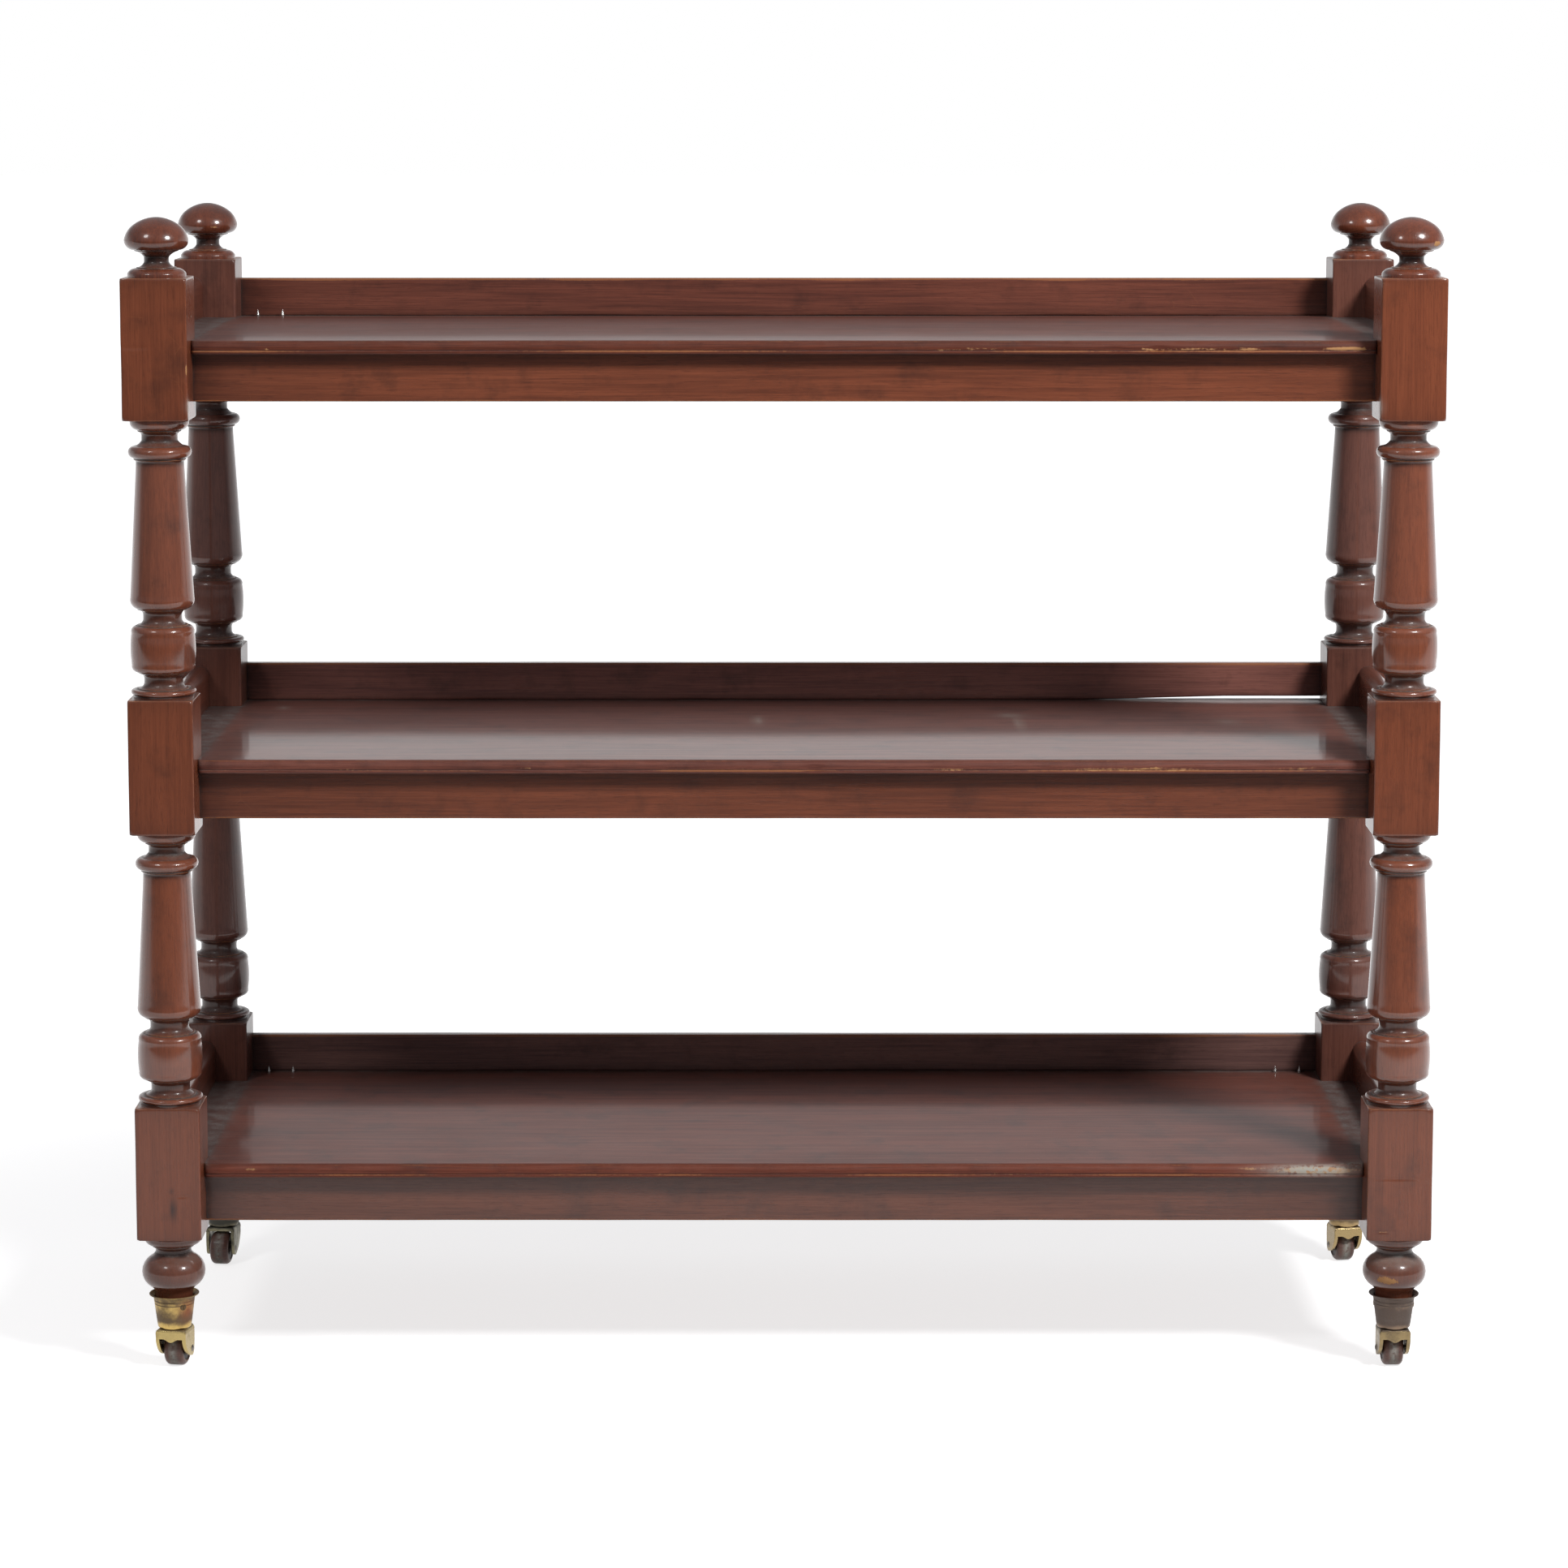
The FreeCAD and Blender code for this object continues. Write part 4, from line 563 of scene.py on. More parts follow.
def board(name, material, node, stations, low, high, rounding, turn=0, seed=1,
          on_shelf=False):
    """A board along X with eased arrises, turned about Z by quarter turns and a little uneven:
    its faces bow by a few hundredths and the arrises are worn more in some places.  The edge
    along the shelf, the lower one of a board on the shelf, is darkened and not rubbed; under
    the shelf that darkening is painted shade."""
    ones = np.ones(len(stations))
    low = np.stack(np.broadcast_arrays(low[0] * ones, low[1] * ones), axis=-1)
    high = np.stack(np.broadcast_arrays(high[0] * ones, high[1] * ones), axis=-1)
    arris = rounding * (1 + 0.35 * ripple(stations / 20, 0, seed))
    ring, arris_mark = rounded_ring(low, high, arris)
    along = stations[:, None] + 0 * ring[..., 0]
    across = ring[..., 0] + 0.12 * ripple(along / 45, ring[..., 1] / 30, seed + 1)
    rows = np.stack([along, across, ring[..., 1]], axis=-1)
    # Darker towards the posts: old polish, and on the aprons painted shade cast by the posts
    from_post = (INNER_Y if turn else INNER_X) - np.abs(along)
    nook = (0.35 * np.exp(-from_post / 90) + 0.4 * np.exp(-from_post / 20)
            + 0.25 * np.exp(-from_post / 3))
    upper = ring[..., 1] > (low[:, 1:] + high[:, 1:]) / 2
    # Darker along the shelf: on a rail or apron this is painted shade under the shelf, on a
    # gallery it darkens its foot
    from_shelf = ring[..., 1] - low[:, 1:] if on_shelf else high[:, 1:] - ring[..., 1]
    nook = np.maximum(nook, 0.7 * np.exp(-from_shelf / 6))
    if turn:
        rows = np.stack([-turn * rows[..., 1], turn * rows[..., 0], rows[..., 2]], axis=-1)
    piece = surface(name, rows, arris=arris_mark * (upper == on_shelf), nook=nook)
    stand_in(piece, material, node)


LONG_STATIONS = np.r_[-INNER_X, np.arange(-545, 546, 5), INNER_X]
SHORT_STATIONS = np.linspace(-INNER_Y, INNER_Y, 66)
# Painted shade: the aprons are painted darker tier by tier downwards, where less light falls
APRON_TONES_WITH_PAINTED_SHADE = {"bottom": (0.145, 0.046, 0.026), "middle": (0.195, 0.056, 0.028),
               "top": (0.22, 0.062, 0.030)}
rail_wood = polished_wood("mahogany_rails", "X", (0.105, 0.036, 0.022), gloss=0.45, coat=0.1)
end_rail_wood = polished_wood("mahogany_end_rails", "Y", (0.14, 0.042, 0.023), gloss=0.38,
                              coat=0.2)
for number, (tier, underside) in enumerate(UNDERSIDES.items()):
    foot = underside - RAIL[1]
    apron_wood = polished_wood(f"mahogany_apron_{tier}", "X", APRON_TONES_WITH_PAINTED_SHADE[tier], 0.6,
                               figure=0.6, coat=0.35)
    board(f"apron_{tier}", apron_wood, f"front_apron_{tier}", LONG_STATIONS,
          (APRON_FRONT, foot), (APRON_FRONT + RAIL[0], underside), 0.9, seed=30 + number)
    board(f"rail_back_{tier}", rail_wood, f"back_rail_{tier}", LONG_STATIONS,
          (BACK_Y - RAIL[0], foot), (BACK_Y, underside), 0.8, seed=40 + number)
    for side, turn in (("left", -1), ("right", 1)):
        board(f"rail_{tier}_{side}", end_rail_wood, f"side_rail_{tier}_{side}",
              SHORT_STATIONS, (-END_X, foot), (RAIL[0] - END_X, underside), 0.8, turn=turn,
              seed=50 + number + 5 * turn)

# ----------------------------------------------------------
# Shelves.  Mahogany boards 12 mm thick, notched round the posts and screwed to the rails
# from below.  The front edge is moulded: a thumb over a small bead, knocked and rubbed.
SHELF_THICKNESS, SHELF_FRONT, SHELF_CORNER = 12.0, -197.4, 4.5
# The back gallery and an end gallery that stand on it: thickness and height
GALLERY, SIDE_GALLERY = (12.0, 38.0), (19.0, 41.5)
NOSE = turned_line([(0, -0.9), (3.4, -0.9, 0.7), (0.8, 0), (7.8, -4.6, 1.5)], 9)
# Painted shade: the top board, open to the lamps, is painted darker than the two below
SHELF_TONES_WITH_PAINTED_SHADE = {"bottom": (0.165, 0.043, 0.025), "middle": (0.18, 0.058, 0.040),
               "top": (0.13, 0.034, 0.019)}
SHELF_COATS = {"bottom": 0.24, "middle": 0.52, "top": 0.24}
CUPPING = {"bottom": 0.4, "middle": 0.6, "top": 2.2}
SHELF_KNOCKS = {
    "bottom": [(505, -197, 192, 45, 6, 4, 0.9), (440, -197, 194, 40, 4, 3, 0.5),
               (-505, -197, 193, 12, 4, 3, 0.6), (220, -197, 189, 90, 4, 3, 0.42),
               (-120, -197, 188, 60, 4, 2, 0.38)],
    "middle": [(330, -197, 576, 120, 4, 3.5, 0.54), (160, -197, 576, 60, 4, 3, 0.47),
               (480, -197, 577, 60, 4, 3, 0.5), (-400, -197, 576, 40, 4, 3, 0.42),
               (-20, -197, 576, 50, 4, 3, 0.44), (-250, -197, 577, 60, 4, 2, 0.4)],
    "top": [(380, -197, 969, 110, 4, 3, 0.5), (520, -197, 969.5, 26, 4, 2.4, 0.85),
            (170, -197, 969, 90, 4, 3, 0.45), (-480, -197, 969, 30, 4, 3, 0.42),
            (430, -197, 969, 14, 4, 2, 0.66)],
}
SHELF_FILMS = {
    "bottom": [(500, -197, 192.5, 40, 6, 6, 1.0), (538, -192, 197, 12, 9, 3, 0.9)],
    "middle": [(-505, 150, 584, 5, 9, 3, 0.5), (232, 40, 584, 3, 40, 3, 0.55),
               (225, 95, 584, 12, 12, 3, 0.4), (-26, 60, 584, 4, 24, 3, 0.5),
               (438, 50, 584, 10, 16, 3, 0.4)],
    "top": [(-470, 208, 976, 80, 2.4, 3, 0.9), (-300, 208, 976, 60, 2, 3, 0.7),
            (60, 208, 976, 120, 1.6, 3, 0.45)],
}


def shelf(tier, underside, seed):
    """A section along X: the underside from front to back, the back edge, the top from back to
    front and the moulded front edge.  Beyond the posts' inner faces it is a plain tongue
    between the posts, and the front corners are rounded in plan."""
    nose, _turns = eased(NOSE, 0.35)
    nose = nose[-2:0:-1]
    depths = np.r_[0, 0.01, np.linspace(0.03, 0.97, 40), 0.99, 1]
    # Each ring point: its share of the way from front to back, its setback from the front
    # edge, its height and whether it lies on the moulded edge
    share = np.r_[depths, depths[::-1], 0 * nose[:, 0]]
    setback = np.r_[0 * depths - NOSE[0, 0], 0 * depths - NOSE[-1, 0], -nose[:, 0]]
    level = np.r_[0 * depths, SHELF_THICKNESS + 0 * depths, nose[:, 1]]
    on_nose = np.r_[0 * depths, 0 * depths, 1 + 0 * nose[:, 0]]
    tongue = np.r_[END_X, END_X - 0.3, END_X - 1, 596, 580, 565, INNER_X]
    wide = np.r_[INNER_X, 548.7, 548, 547, 546, 544.5, np.arange(540, -1, -5)]
    x = np.concatenate([-tongue, -wide, wide[-2::-1], tongue[::-1]])[:, None]
    full = np.concatenate([0 * tongue, 1 + 0 * wide, 1 + 0 * wide[1:], 0 * tongue])[:, None]
    corner = np.clip(SHELF_CORNER - (INNER_X - np.abs(x)), 0, SHELF_CORNER)
    curved = SHELF_FRONT + SHELF_CORNER - np.sqrt(SHELF_CORNER ** 2 - corner ** 2)
    front = np.where(full > 0, curved, -INNER_Y)
    back = np.where(full > 0, BACK_Y, INNER_Y)
    at_end = np.interp(np.abs(x), [END_X - 1, END_X - 0.3, END_X], [0, 0.25, 0.9])
    y = (1 - share) * (front + full * setback) + share * back
    dent = 0.35 * np.maximum(ripple(x / 9, 0, seed), 0) ** 2 + 0.12
    y = np.where(on_nose > 0, np.maximum(y, front + full * dent), y)
    y = y + at_end * np.where(share < 0.5, 1, -1)
    z = (level + at_end * np.where(level < SHELF_THICKNESS / 2, 1, -1)
         + 0.12 * ripple(x / 120, y / 70, seed + 1))
    # The board has cupped: its top rises along a parabola from both long edges
    from_ridge = np.interp(y, [SHELF_FRONT, -40, 60, BACK_Y - GALLERY[0]], [1, 0, 0, 1])
    z = z + CUPPING[tier] * (1 - from_ridge ** 2) * (level > SHELF_THICKNESS - 0.1)
    rows = np.stack([x + 0 * y, y, underside + z], axis=-1)
    hand_worn = 0.7 + 0.15 * x / INNER_X + 0.35 * ripple(x / 45, 0, seed + 2)
    edge = (0.7 * np.exp(-((level - 11.6) / 0.7) ** 2)
            + hand_worn * np.exp(-((level - 2.6) / 1.3) ** 2))
    arris = np.clip(on_nose * edge, 0, 1) * full
    # Darker in the quirk under the thumb and in the corners against the galleries: dust and grime,
    # and painted shade in those corners
    quirk = on_nose * np.exp(-((level - 3.4) / 0.5) ** 2)
    upper = level > SHELF_THICKNESS / 2
    rear = np.exp((y - (BACK_Y - GALLERY[0])) / 9) * upper
    ends = (np.exp((np.abs(x) - (END_X - SIDE_GALLERY[0] - 2)) / 7) * upper
            + np.exp((np.abs(x) - INNER_X) / 5))
    nook = 0.5 * quirk * full + 0.8 * np.clip(rear, 0, 1) + 0.8 * np.clip(ends, 0, 1)
    piece = surface(f"board_{tier}", rows, arris=arris, nook=np.clip(nook, 0, 1),
                    bare=on_nose * spots(rows, SHELF_KNOCKS[tier]),
                    film=spots(rows, SHELF_FILMS[tier]), satin=1.5 * on_nose)
    wood = polished_wood(f"mahogany_shelf_{tier}", "X", SHELF_TONES_WITH_PAINTED_SHADE[tier], gloss=0.5,
                         coat=SHELF_COATS[tier], wear=0.8, waves=4.5)
    stand_in(piece, wood, f"shelf_{tier}")


for number, (tier, underside) in enumerate(UNDERSIDES.items()):
    shelf(tier, underside, 60 + number)

# ----------------------------------------------------------
# Galleries.  Low mahogany boards on the shelves between the posts, stub-tenoned: a flat
# board along the back, and a thicker one with a half-round top at each end.
GALLERY_LIFT, LIFT_START, LIFT_RUN = 3.9, 300.0, 150.0
# Painted light: the middle and bottom back galleries, in the shade of the shelf above, are painted
# lighter and greyer than the top one
GALLERY_TONES_WITH_PAINTED_LIGHT = {"bottom": (0.205, 0.105, 0.090), "middle": (0.27, 0.105, 0.082),
                 "top": (0.18, 0.054, 0.034)}
end_gallery_wood = polished_wood("mahogany_end_galleries", "Y", (0.15, 0.042, 0.024),
                                 coat=0.45, wear=0.7)
# An end gallery's section, a stadium whose lower end is squared again
half = SIDE_GALLERY[0] / 2
rise = SIDE_GALLERY[1] - half
angle = np.linspace(0, np.pi, 21)
up = np.r_[0, 1.5, np.linspace(4, rise - 1, 5)]
across = np.r_[half + 0 * up, half * np.cos(angle), -half + 0 * up,
               np.linspace(-half, half, 7)[1:-1]]
level = np.r_[up, rise + half * np.sin(angle), up[::-1], np.zeros(5)]
along = SHORT_STATIONS[:, None]
end_nook = 0.6 * np.maximum(np.exp((np.abs(along) - INNER_Y) / 5), 0.8 * np.exp(-level / 3))
crest = 0.25 * np.exp(-((level - SIDE_GALLERY[1]) / 3) ** 2)
for number, (tier, underside) in enumerate(UNDERSIDES.items()):
    shelf_top = underside + SHELF_THICKNESS
    # The middle board stands clear of its shelf at the right: an open joint
    lift = GALLERY_LIFT if tier == "middle" else 0
    foot = shelf_top + lift * np.clip((LONG_STATIONS - LIFT_START) / LIFT_RUN, 0, 1)
    gallery_wood = polished_wood(f"mahogany_gallery_{tier}", "X", GALLERY_TONES_WITH_PAINTED_LIGHT[tier],
                                 coat=0.35, wear=0.7)
    board(f"gallery_back_{tier}", gallery_wood, f"back_gallery_{tier}",
          LONG_STATIONS, (BACK_Y - GALLERY[0], foot), (BACK_Y, shelf_top + GALLERY[1]), 1.6,
          seed=70 + number, on_shelf=True)
    for side, turn in (("left", -1), ("right", 1)):
        y = across - END_X + half + 0.12 * ripple(along / 40, level / 20, 80 + number + 5 * turn)
        rows = np.stack([turn * -y, turn * along + 0 * y, shelf_top + level + 0 * y], axis=-1)
        piece = surface(f"gallery_{tier}_{side}", rows, arris=crest, nook=end_nook)
        stand_in(piece, end_gallery_wood, f"side_gallery_{tier}_{side}")

# ----------------------------------------------------------
# Under the shelves.  Pine glue blocks, iron screws through the rails, and repair cleats
# with steel screws whose threaded points come out through three shelf corners.
pine = polished_wood("glue_block_pine", "X", (0.33, 0.21, 0.11), gloss=0.75, coat=0.0,
                     dust=1.2, wear=0.2)
cleat_wood = polished_wood("cleat_wood", "X", (0.27, 0.16, 0.08), gloss=0.7, coat=0.0,
                           dust=1.2, wear=0.2)

# Tarnish: clean metal showing between dull skin and spots, each with its own roughness
tarnish_group, given, give = new_group(
    "tarnish", {"Place": "Vector", "Clean": "Color", "Dull": "Color", "Spot": "Color",
                "Dullness": "Float", "Spots": "Float", "Nook": "Float"},
    {"Color": "Color", "Roughness": "Float", "Height": "Float", "Metal": "Float"})
cloud = noise(given["Place"], 70.0, 5.0, 0.6)
grit = noise(given["Place"], 900.0, 3.0, 0.6)
blotch = noise(given["Place"], 150.0, 4.0, 0.65)
dull = plus(plus(cloud, given["Dullness"]), times(given["Nook"], 0.6))
dull = between(plus(dull, times(grit, 0.15)), 0.85, 1.3)
spot = between(plus(blotch, given["Spots"]), 0.72, 0.86)
covered = highest(dull, spot)
give(Color=blend(spot, blend(dull, given["Clean"], given["Dull"]), given["Spot"]),
     Roughness=calc("MULTIPLY_ADD", covered, 0.28, 0.27),
     Height=calc("MULTIPLY_ADD", spot, -0.5, grit),
     Metal=calc("MULTIPLY_ADD", covered, -0.35, 1.0))
COPPER = (0.30, 0.085, 0.035, 1)


def old_metal(name, spot, clean, dull, dullness, spots_share):
    """Old metal: bright, dull and spotted places, dust in its quirks and a fine pitted bump."""
    material = bpy.data.materials.new(name)
    tree = emptied(material)
    place = put(tree, "ShaderNodeTexCoord").outputs["Object"]
    nook = mark(tree, "nook")
    skin = grouped(tree, tarnish_group, Place=place, Clean=(*clean, 1), Dull=(*dull, 1),
                   Spot=(*spot, 1), Dullness=dullness, Spots=spots_share, Nook=nook)
    dusty = grouped(tree, dust_and_shade_group, Place=place, Nook=nook, Up=0.3, Amount=0.5)["Dust"]
    bump = put(tree, "ShaderNodeBump",
               {"Height": skin["Height"], "Strength": 0.5, "Distance": 0.0002})
    colour = blend(dusty, skin["Color"], DUST)
    colour = blend(times(mark(tree, "copper"), 0.8), colour, COPPER)
    shaded(tree, {"Base Color": colour, "Normal": bump.outputs[0],
                  "Roughness": calc("MULTIPLY_ADD", dusty, 0.4, skin["Roughness"], clamp=True),
                  "Metallic": minus(skin["Metal"], dusty, clamp=True)})
    return material


def repaint(node, material):
    """A node of the solids stays, in a better material."""
    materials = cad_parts[node].data.materials
    materials.clear()
    materials.append(material)


iron = old_metal("screw_iron", (0.16, 0.06, 0.025), (0.30, 0.28, 0.26), (0.10, 0.085, 0.075),
                 0.3, 0.1)
steel = old_metal("screw_steel", (0.18, 0.12, 0.09), (0.62, 0.62, 0.60), (0.32, 0.31, 0.30),
                  0.0, -0.1)
repaint("glue_blocks", pine)
repaint("cleats", cleat_wood)
repaint("shelf_screws", iron)
repaint("cleat_screws", steel)

SCREW_POINTS = {"top": (-531.5, -506.5), "bottom": (-531.5, -506.5, 531.5, 506.5)}
SCREW_Y, SCREW_RADIUS, THREAD_PITCH, THREAD_HEIGHT = 203.5, 1.75, 1.5, 0.62
# A ridge that winds once round in each pitch, dying out at the point
level = np.linspace(-3, 6.6, 80)
core = np.interp(level, [-3, 1.6, 6.6], [SCREW_RADIUS, SCREW_RADIUS, 0.15])[:, None]
level = level[:, None]
angles = np.linspace(0, 2 * np.pi, 32, endpoint=False)
ridge = np.abs(((level / THREAD_PITCH - angles / (2 * np.pi)) % 1) * 2 - 1)
reach = core + THREAD_HEIGHT * np.clip(2.2 * ridge - 1.2, 0, 1) * np.clip(core / 1.2, 0, 1)
for tier, places in SCREW_POINTS.items():
    shelf_top = UNDERSIDES[tier] + SHELF_THICKNESS
    for number, x in enumerate(places, start=1):
        rows = np.stack([x + reach * np.cos(angles), SCREW_Y + reach * np.sin(angles),
                         shelf_top + level + 0 * reach], axis=-1)
        piece = surface(f"screw_point_{tier}_{number}", rows)
        piece.data.materials.append(steel)
        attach(piece, "frame")

# ----------------------------------------------------------
# Castor cups.  Spun brass cups on the turned feet, with a rolled flange and two engraved
# lines, each held by two screws.  The left front one is the brightest.
CUP_FOOT = 39.6
CUP = [(0, 4.06), (0, 14), (2, 16, 0.59), (21.2, 18.81), (0.35, 18.5), (0.35, 18.9),
       (2.7, 19.22), (0.35, 18.92), (0.35, 19.31), (1.1, 19.5), (3.4, 23.2, -1),
       (1.2, 23.2, 0.4), (-4.6, 17.9, 1), (-25.4, 14.4), (0, 4.06)]
# Colour where clean and where dull, how dull and how spotted
BRASSES = {"front_left": ((0.52, 0.36, 0.12), (0.14, 0.092, 0.045), 0.2, 0.05),
           "front_right": ((0.21, 0.145, 0.10), (0.10, 0.07, 0.055), 0.38, 0.0),
           "back_left": ((0.17, 0.15, 0.10), (0.050, 0.048, 0.036), 0.5, 0.0),
           "back_right": ((0.36, 0.25, 0.12), (0.18, 0.125, 0.065), 0.25, 0.0)}
COPPER_SPOTS = [(-564, -205, 58, 8, 12, 9, 1.0)]
cup_line, _arris, cup_nook = marked_line(turned_line(CUP, 7), 0.3, 0.6, 2.0)
cup_radius, cup_level = cup_line[:, :1], cup_line[:, 1:]
inside = np.clip((18.2 - cup_radius) / 0.5, 0, 1) * (cup_level > 4)
handled = 0.6 * np.clip((cup_level - 22) / 3, 0, 1)
nook = np.maximum(np.maximum(cup_nook[:, None], inside), handled)
for corner, (side, end) in CORNERS.items():
    metal = old_metal(f"cup_brass_{corner}", (0.16, 0.06, 0.03), *BRASSES[corner])
    rows = lathe(cup_line + (0, CUP_FOOT), 96, side * POST_X, end * POST_Y)
    piece = surface(f"cup_{corner}", rows, nook=nook, copper=spots(rows, COPPER_SPOTS))
    stand_in(piece, metal, f"castor_cup_{corner}")
repaint("cup_screws", old_metal("cup_screw_brass", (0.03, 0.02, 0.015), (0.13, 0.085, 0.045),
                                (0.05, 0.036, 0.025), 0.35, 0.1))

# ----------------------------------------------------------
# Castors.  Cast brass yokes that swivel under the cups: two cheeks, a crown and a front web
# whose lower edge dips like a bow.  A hardwood wheel turns between them on an iron axle.
CASTOR_TURNS = {"front_left": 350.0, "front_right": 1.0, "back_left": 173.0, "back_right": 10.0}
TRAIL, WHEEL_RADIUS, WHEEL_WIDTH = 8.0, 16.5, 19.2
# The yoke: half its width at the cheeks and at the crown, its front, and its levels
CHEEK_X, CROWN_X, YOKE_FRONT, BOSS_RADIUS = 14.7, 12.5, -14.6, 6.8
CHEEK_STRAIGHT, SHOULDER, YOKE_TOP = 28.0, 33.7, 39.2
WEB_X = 13.9
YOKE_BRASSES = {"front_left": ((0.42, 0.32, 0.13), (0.21, 0.155, 0.075), 0.3, 0.08),
                "front_right": ((0.27, 0.20, 0.10), (0.10, 0.072, 0.05), 0.38, 0.04),
                "back_left": ((0.21, 0.19, 0.12), (0.065, 0.062, 0.045), 0.42, 0.0),
                "back_right": ((0.34, 0.25, 0.12), (0.17, 0.12, 0.065), 0.25, 0.0)}


def strap_rows():
    """The yoke's strap, from the foot of one cheek over the crown to the foot of the other:
    rings of a rounded rectangle, whose width along Y follows the cheek's two edges."""
    # Front edge of a cheek: an arc from the straight part forward of the axle to the boss
    edge = turned_line([(CHEEK_STRAIGHT, YOKE_FRONT), (-18.3, 8, 4)], 22)
    edge = edge[np.argsort(edge[:, 1])]
    z = np.r_[9.72, 9.85, 10.1, 10.6, 11.3, 12.3, 13.6, 15.2,
              np.linspace(WHEEL_RADIUS, SHOULDER, 16)]
    front = np.where(z > CHEEK_STRAIGHT, YOKE_FRONT, np.interp(z, edge[:, 1], edge[:, 0]))
    boss = TRAIL + np.sqrt(np.maximum(BOSS_RADIUS ** 2 - (WHEEL_RADIUS - z) ** 2, 0))
    rear = np.where(z < WHEEL_RADIUS, boss, 14.7 + 1 - ((z - 27.85) / 11.35) ** 2)
    shoulder = turned_line([(0, CHEEK_X), (5.5, CROWN_X, 1)], 9)[1:] + (0, SHOULDER)
    crown = np.linspace(CROWN_X, 0, 7)[1:]
    x = np.r_[CHEEK_X + 0 * z, shoulder[:, 0], crown]
    level = np.r_[z, shoulder[:, 1], YOKE_TOP + 0 * crown]
    front = np.r_[front, YOKE_FRONT + 0 * shoulder[:, 0], YOKE_FRONT + 0 * crown]
    rear = np.r_[rear, np.interp(shoulder[:, 1], [SHOULDER, YOKE_TOP], [15.43, -YOKE_FRONT]),
                 0 * crown - YOKE_FRONT]
    line = np.stack([np.r_[-x, x[-2::-1]], np.r_[level, level[-2::-1]]], axis=1)
    front, rear = np.r_[front, front[-2::-1]], np.r_[rear, rear[-2::-1]]
    way = np.gradient(line, axis=0)
    way = way / np.linalg.norm(way, axis=1, keepdims=True)
    inward = np.stack([way[:, 1], -way[:, 0]], axis=1)
    thickness = np.interp(line[:, 1], [33, YOKE_TOP], [3.6, 4.2])
    rounding = np.minimum(0.9, 0.45 * np.minimum(rear - front, thickness))
    ring, marks = rounded_ring(np.stack([front, 0 * front], axis=1),
                               np.stack([rear, thickness], axis=1), rounding, (4, 7))
    spine = line[:, None, :] + inward[:, None, :] * ring[..., 1:]
    return np.stack([spine[..., 0], ring[..., 0], spine[..., 1]], axis=-1)[:, ::-1], marks[::-1]


def web_rows():
    """The front web, along X: a plate whose lower edge is level at the cheeks and dips by 3 mm
    in the middle along a cosine, its face slightly domed."""
    x = np.linspace(-WEB_X, WEB_X, 41)
    dip = 1.5 * (1 + np.cos(np.pi * np.clip(x / 7.5, -1, 1)))
    low = np.stack([-14.62 - 0.35 * (1 - (x / WEB_X) ** 2), 29.8 - dip], axis=1)
    high = np.stack([-11 + 0 * x, 38.3 + 0 * x], axis=1)
    ring, marks = rounded_ring(low, high, 0.9 + 0 * x, (4, 7))
    return np.stack([x[:, None] + 0 * ring[..., 0], ring[..., 0], ring[..., 1]], axis=-1), marks


def castor_placed(rows, corner):
    """Rows from a castor's own frame, its swivel on the Z axis and its axle to the back, to
    where that castor stands."""
    turn = math.radians(CASTOR_TURNS[corner])
    side, end = CORNERS[corner]
    x = side * POST_X + rows[..., 0] * math.cos(turn) - rows[..., 1] * math.sin(turn)
    y = end * POST_Y + rows[..., 0] * math.sin(turn) + rows[..., 1] * math.cos(turn)
    return np.stack([x, y, rows[..., 2]], axis=-1)


def joined(name, first, second):
    """Two pieces of one casting as one mesh."""
    with bpy.context.temp_override(active_object=first, selected_editable_objects=[first, second]):
        bpy.ops.object.join()
    first.name = name
    return first


WHEEL = [(0, 2.5), (0, 6.4), (1.0, 7.5), (0, 11), (-1.0, 12), (4.5, 16.5, 1.32), (10.2, 16.5),
         (4.5, 12, 1.32), (-1.0, 11), (0, 7.5), (1.0, 6.4), (0, 2.5)]
wheel_wood = polished_wood("castor_wheel_wood", "X", (0.15, 0.075, 0.058), gloss=0.45,
                           coat=0.1, dust=1.1, wear=0.9)
axle_iron = old_metal("castor_iron", (0.12, 0.05, 0.025), (0.22, 0.20, 0.18),
                      (0.055, 0.045, 0.04), 0.35, 0.1)
strap, strap_marks = strap_rows()
web, web_marks = web_rows()
strap_nook = 0.6 * np.exp((strap[..., 2] - YOKE_TOP) / 1.5)
wheel_line, wheel_arris, wheel_nook = marked_line(turned_line(WHEEL), 0.4)
tread, across = wheel_line[:, :1], wheel_line[:, 1:]
angles = np.linspace(0, 2 * np.pi, 96, endpoint=False)
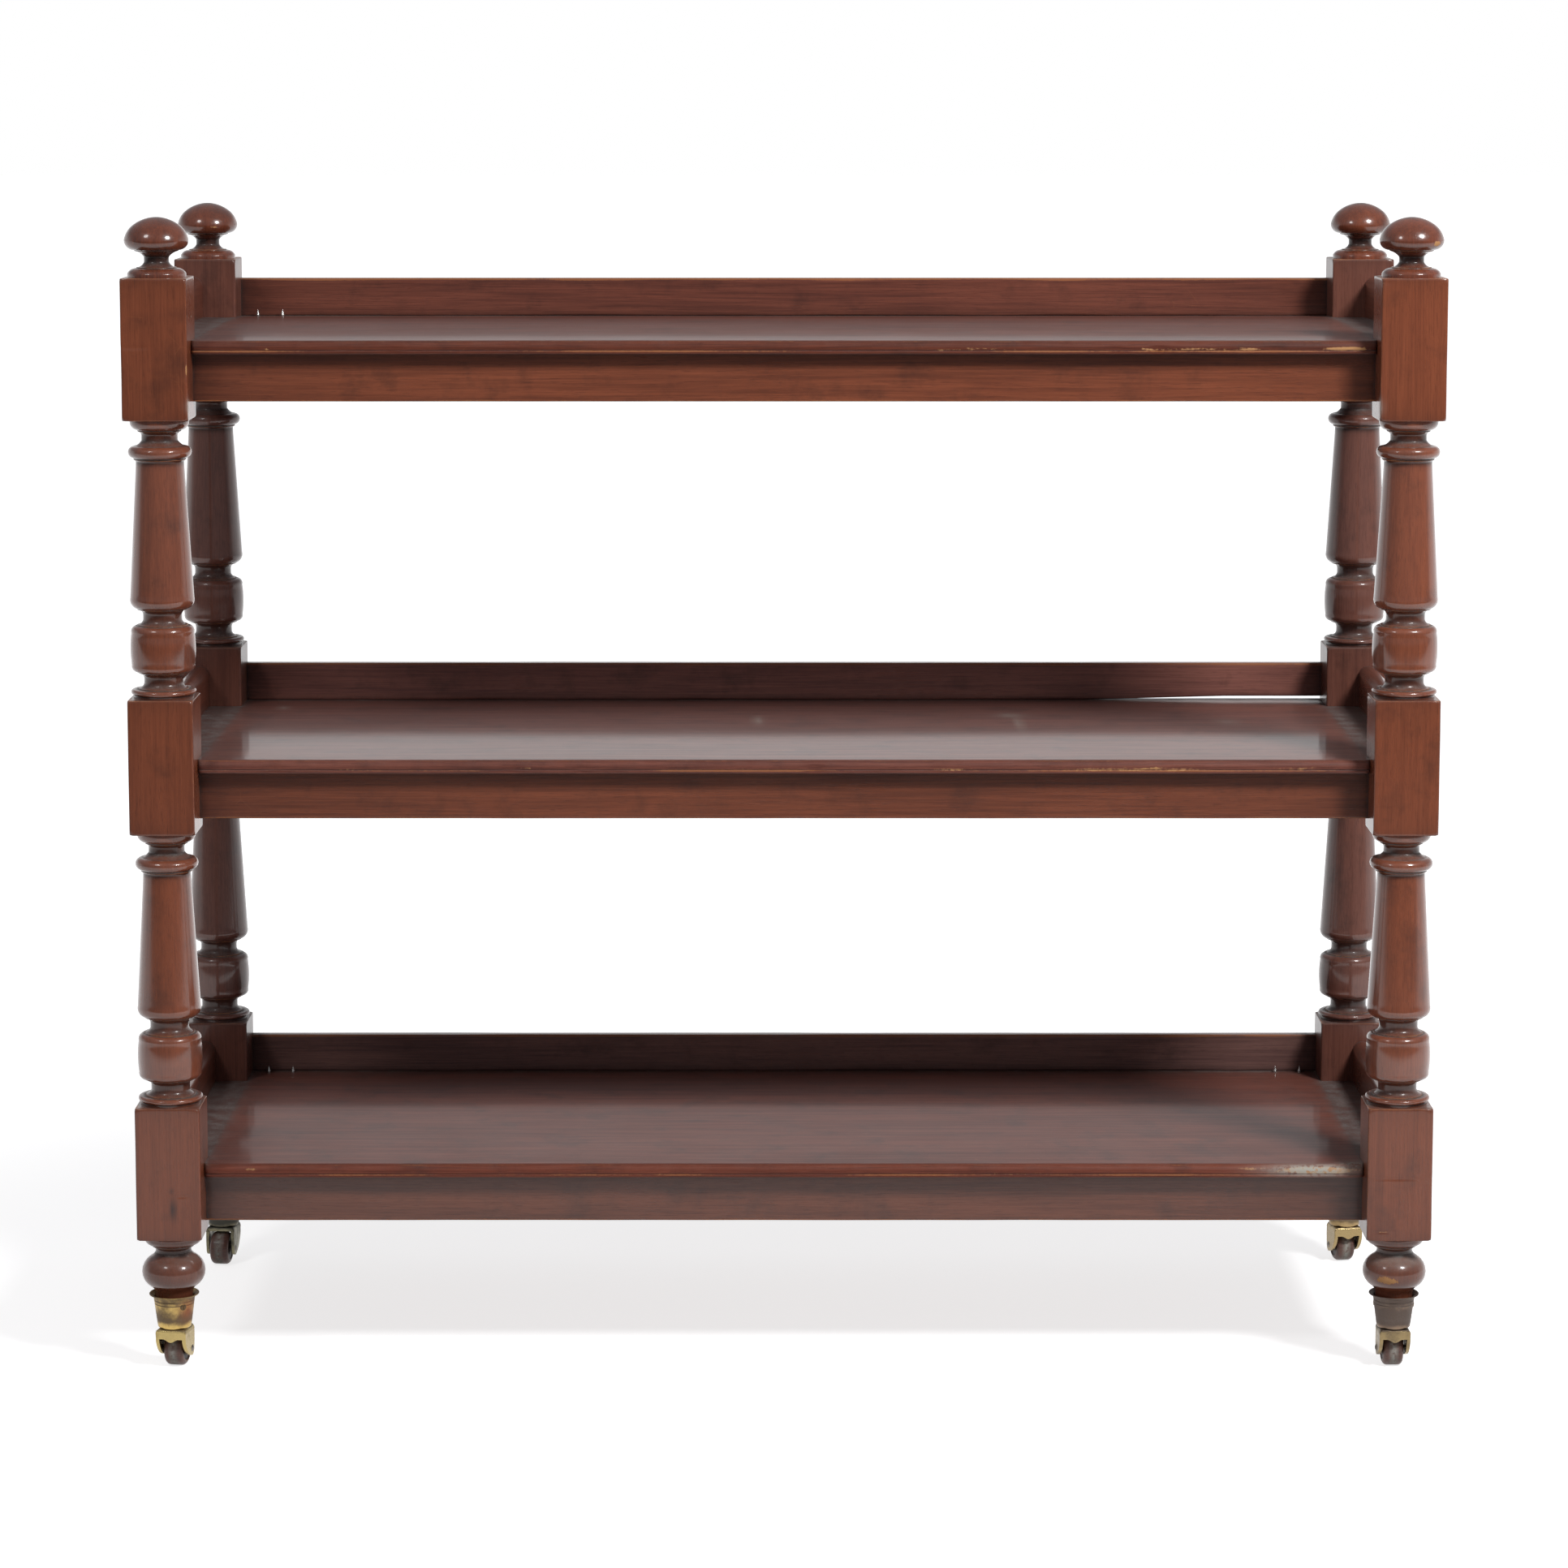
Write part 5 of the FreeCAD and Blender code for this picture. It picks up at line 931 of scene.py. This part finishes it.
# A pale worn track round the tread
track = 0.9 * np.exp(-((across - WHEEL_WIDTH / 2) / 2.5) ** 2) * (tread > 14)
for number, corner in enumerate(CORNERS):
    metal = old_metal(f"yoke_brass_{corner}", (0.30, 0.11, 0.035), *YOKE_BRASSES[corner])
    cheeks = surface(f"cheeks_{corner}", castor_placed(strap, corner), arris=strap_marks,
                     nook=strap_nook)
    front = surface(f"web_{corner}", castor_placed(web, corner), arris=web_marks, nook=0.0)
    front.data.materials.append(metal)
    cheeks.data.materials.append(metal)
    yoke = joined(f"yoke_{corner}", cheeks, front)
    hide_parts(f"castor_yoke_{corner}")
    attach(yoke, f"castor_swivel_{corner}")

    reach = tread + 0.06 * ripple(3 * np.cos(angles), 3 * np.sin(angles) + across / 6, 90 + number)
    rows = np.stack([across - WHEEL_WIDTH / 2 + 0 * angles, TRAIL + reach * np.cos(angles),
                     WHEEL_RADIUS + reach * np.sin(angles)], axis=-1)
    wheel = surface(f"wheel_{corner}", castor_placed(rows, corner),
                    arris=0.8 * wheel_arris[:, None], nook=wheel_nook[:, None], film=track)
    stand_in(wheel, wheel_wood, f"castor_wheel_{corner}",
             f"castor_roll_{corner}")
    repaint(f"castor_axle_{corner}", axle_iron)

# ----------------------------------------------------------
# Studio.  A pale floor that goes on into a white background, two soft round lamps high in
# front, a weak one on the left and a strong one on the right, and a dim grey room.
FLOOR_HALF = 40
ROOM_GREY = (0.35, 0.35, 0.35, 1)
floor_mesh = bpy.data.meshes.new("floor")
floor_mesh.from_pydata([(x * FLOOR_HALF, y * FLOOR_HALF, 0) for x, y in
                        ((-1, -1), (1, -1), (1, 1), (-1, 1))], [], [(0, 1, 2, 3)])
added("floor", floor_mesh)
floor_paint = bpy.data.materials.new("floor_paint")
floor_mesh.materials.append(floor_paint)
tree = emptied(floor_paint)
place = put(tree, "ShaderNodeTexCoord").outputs["Object"]
ray = put(tree, "ShaderNodeLightPath").outputs
# The white goes on behind the object; in front of it the studio floor ends in the dark
forward = put(tree, "ShaderNodeSeparateXYZ", {0: place}).outputs["Y"]
mirrored = times(ray["Is Glossy Ray"], between(forward, -2.6, -1.0))
seen = highest(ray["Is Camera Ray"], mirrored)
away = put(tree, "ShaderNodeVectorMath", {0: scaled(place, 0.8, 1.0, 0)},
           operation="LENGTH").outputs["Value"]
paint = blend(noise(place, 4.0, 2.0), (0.49, 0.49, 0.495, 1), (0.51, 0.51, 0.51, 1))
dark_end = times(ray["Is Glossy Ray"], between(forward, -2.6, -1.0, 1.0, 0.0))
paint = blend(dark_end, paint, ROOM_GREY)
shaded(tree, {"Base Color": blend(seen, paint, (0.80, 0.80, 0.805, 1)), "Roughness": 0.9,
              "Emission Color": (1, 1, 1, 1),
              "Emission Strength": times(seen, between(away, 0.7, 1.6, 0.74, 1.0))})

# A white wall behind, for the camera and in reflections, and a dim grey room elsewhere
world = bpy.data.worlds.new("surround")
bpy.context.scene.world = world
tree = emptied(world)
ray = put(tree, "ShaderNodeLightPath").outputs
way = put(tree, "ShaderNodeTexCoord").outputs["Generated"]
way = put(tree, "ShaderNodeSeparateXYZ", {0: way}).outputs
wall = times(between(way["Y"], -0.15, 0.35), between(way["Z"], 0.12, 0.42, 1.0, 0.0))
seen = highest(ray["Is Camera Ray"], times(ray["Is Glossy Ray"], wall))
room = blend(ray["Is Glossy Ray"], (0.17, 0.17, 0.18, 1), (0.35, 0.35, 0.37, 1))
background = put(tree, "ShaderNodeBackground", {"Color": blend(seen, room, (1, 1, 1, 1))})
put(tree, "ShaderNodeOutputWorld", {"Surface": background.outputs[0]})


def lamp(name, place, aim, size, power):
    """A soft round lamp at a place, turned to what it lights."""
    data = bpy.data.lights.new(name, "AREA")
    data.shape, data.size, data.energy = "DISK", size, power
    item = added(name, data)
    item.location = place
    way = np.array(aim) - np.array(place)
    tilt = math.acos(-way[2] / np.linalg.norm(way))
    item.rotation_euler = (tilt, 0, math.atan2(way[1], way[0]) - math.pi / 2)


lamp("lamp_left", (-1.9, -2.1, 2.9), (0, 0, 0.7), 0.7, 19)
lamp("lamp_right", (1.9, -2.1, 2.9), (0, 0, 0.7), 0.85, 102)

CAMERA_PITCH = math.radians(7.35)
camera_data = bpy.data.cameras.new("camera")
camera_data.lens, camera_data.sensor_width, camera_data.shift_y = 106.4, 36.0, -0.09
camera = added("camera", camera_data)
camera.location = (0, -4.482, 1.248)
camera.rotation_euler = (math.pi / 2 - CAMERA_PITCH, 0, 0)
bpy.context.scene.camera = camera
bpy.context.scene.view_settings.view_transform = "Standard"
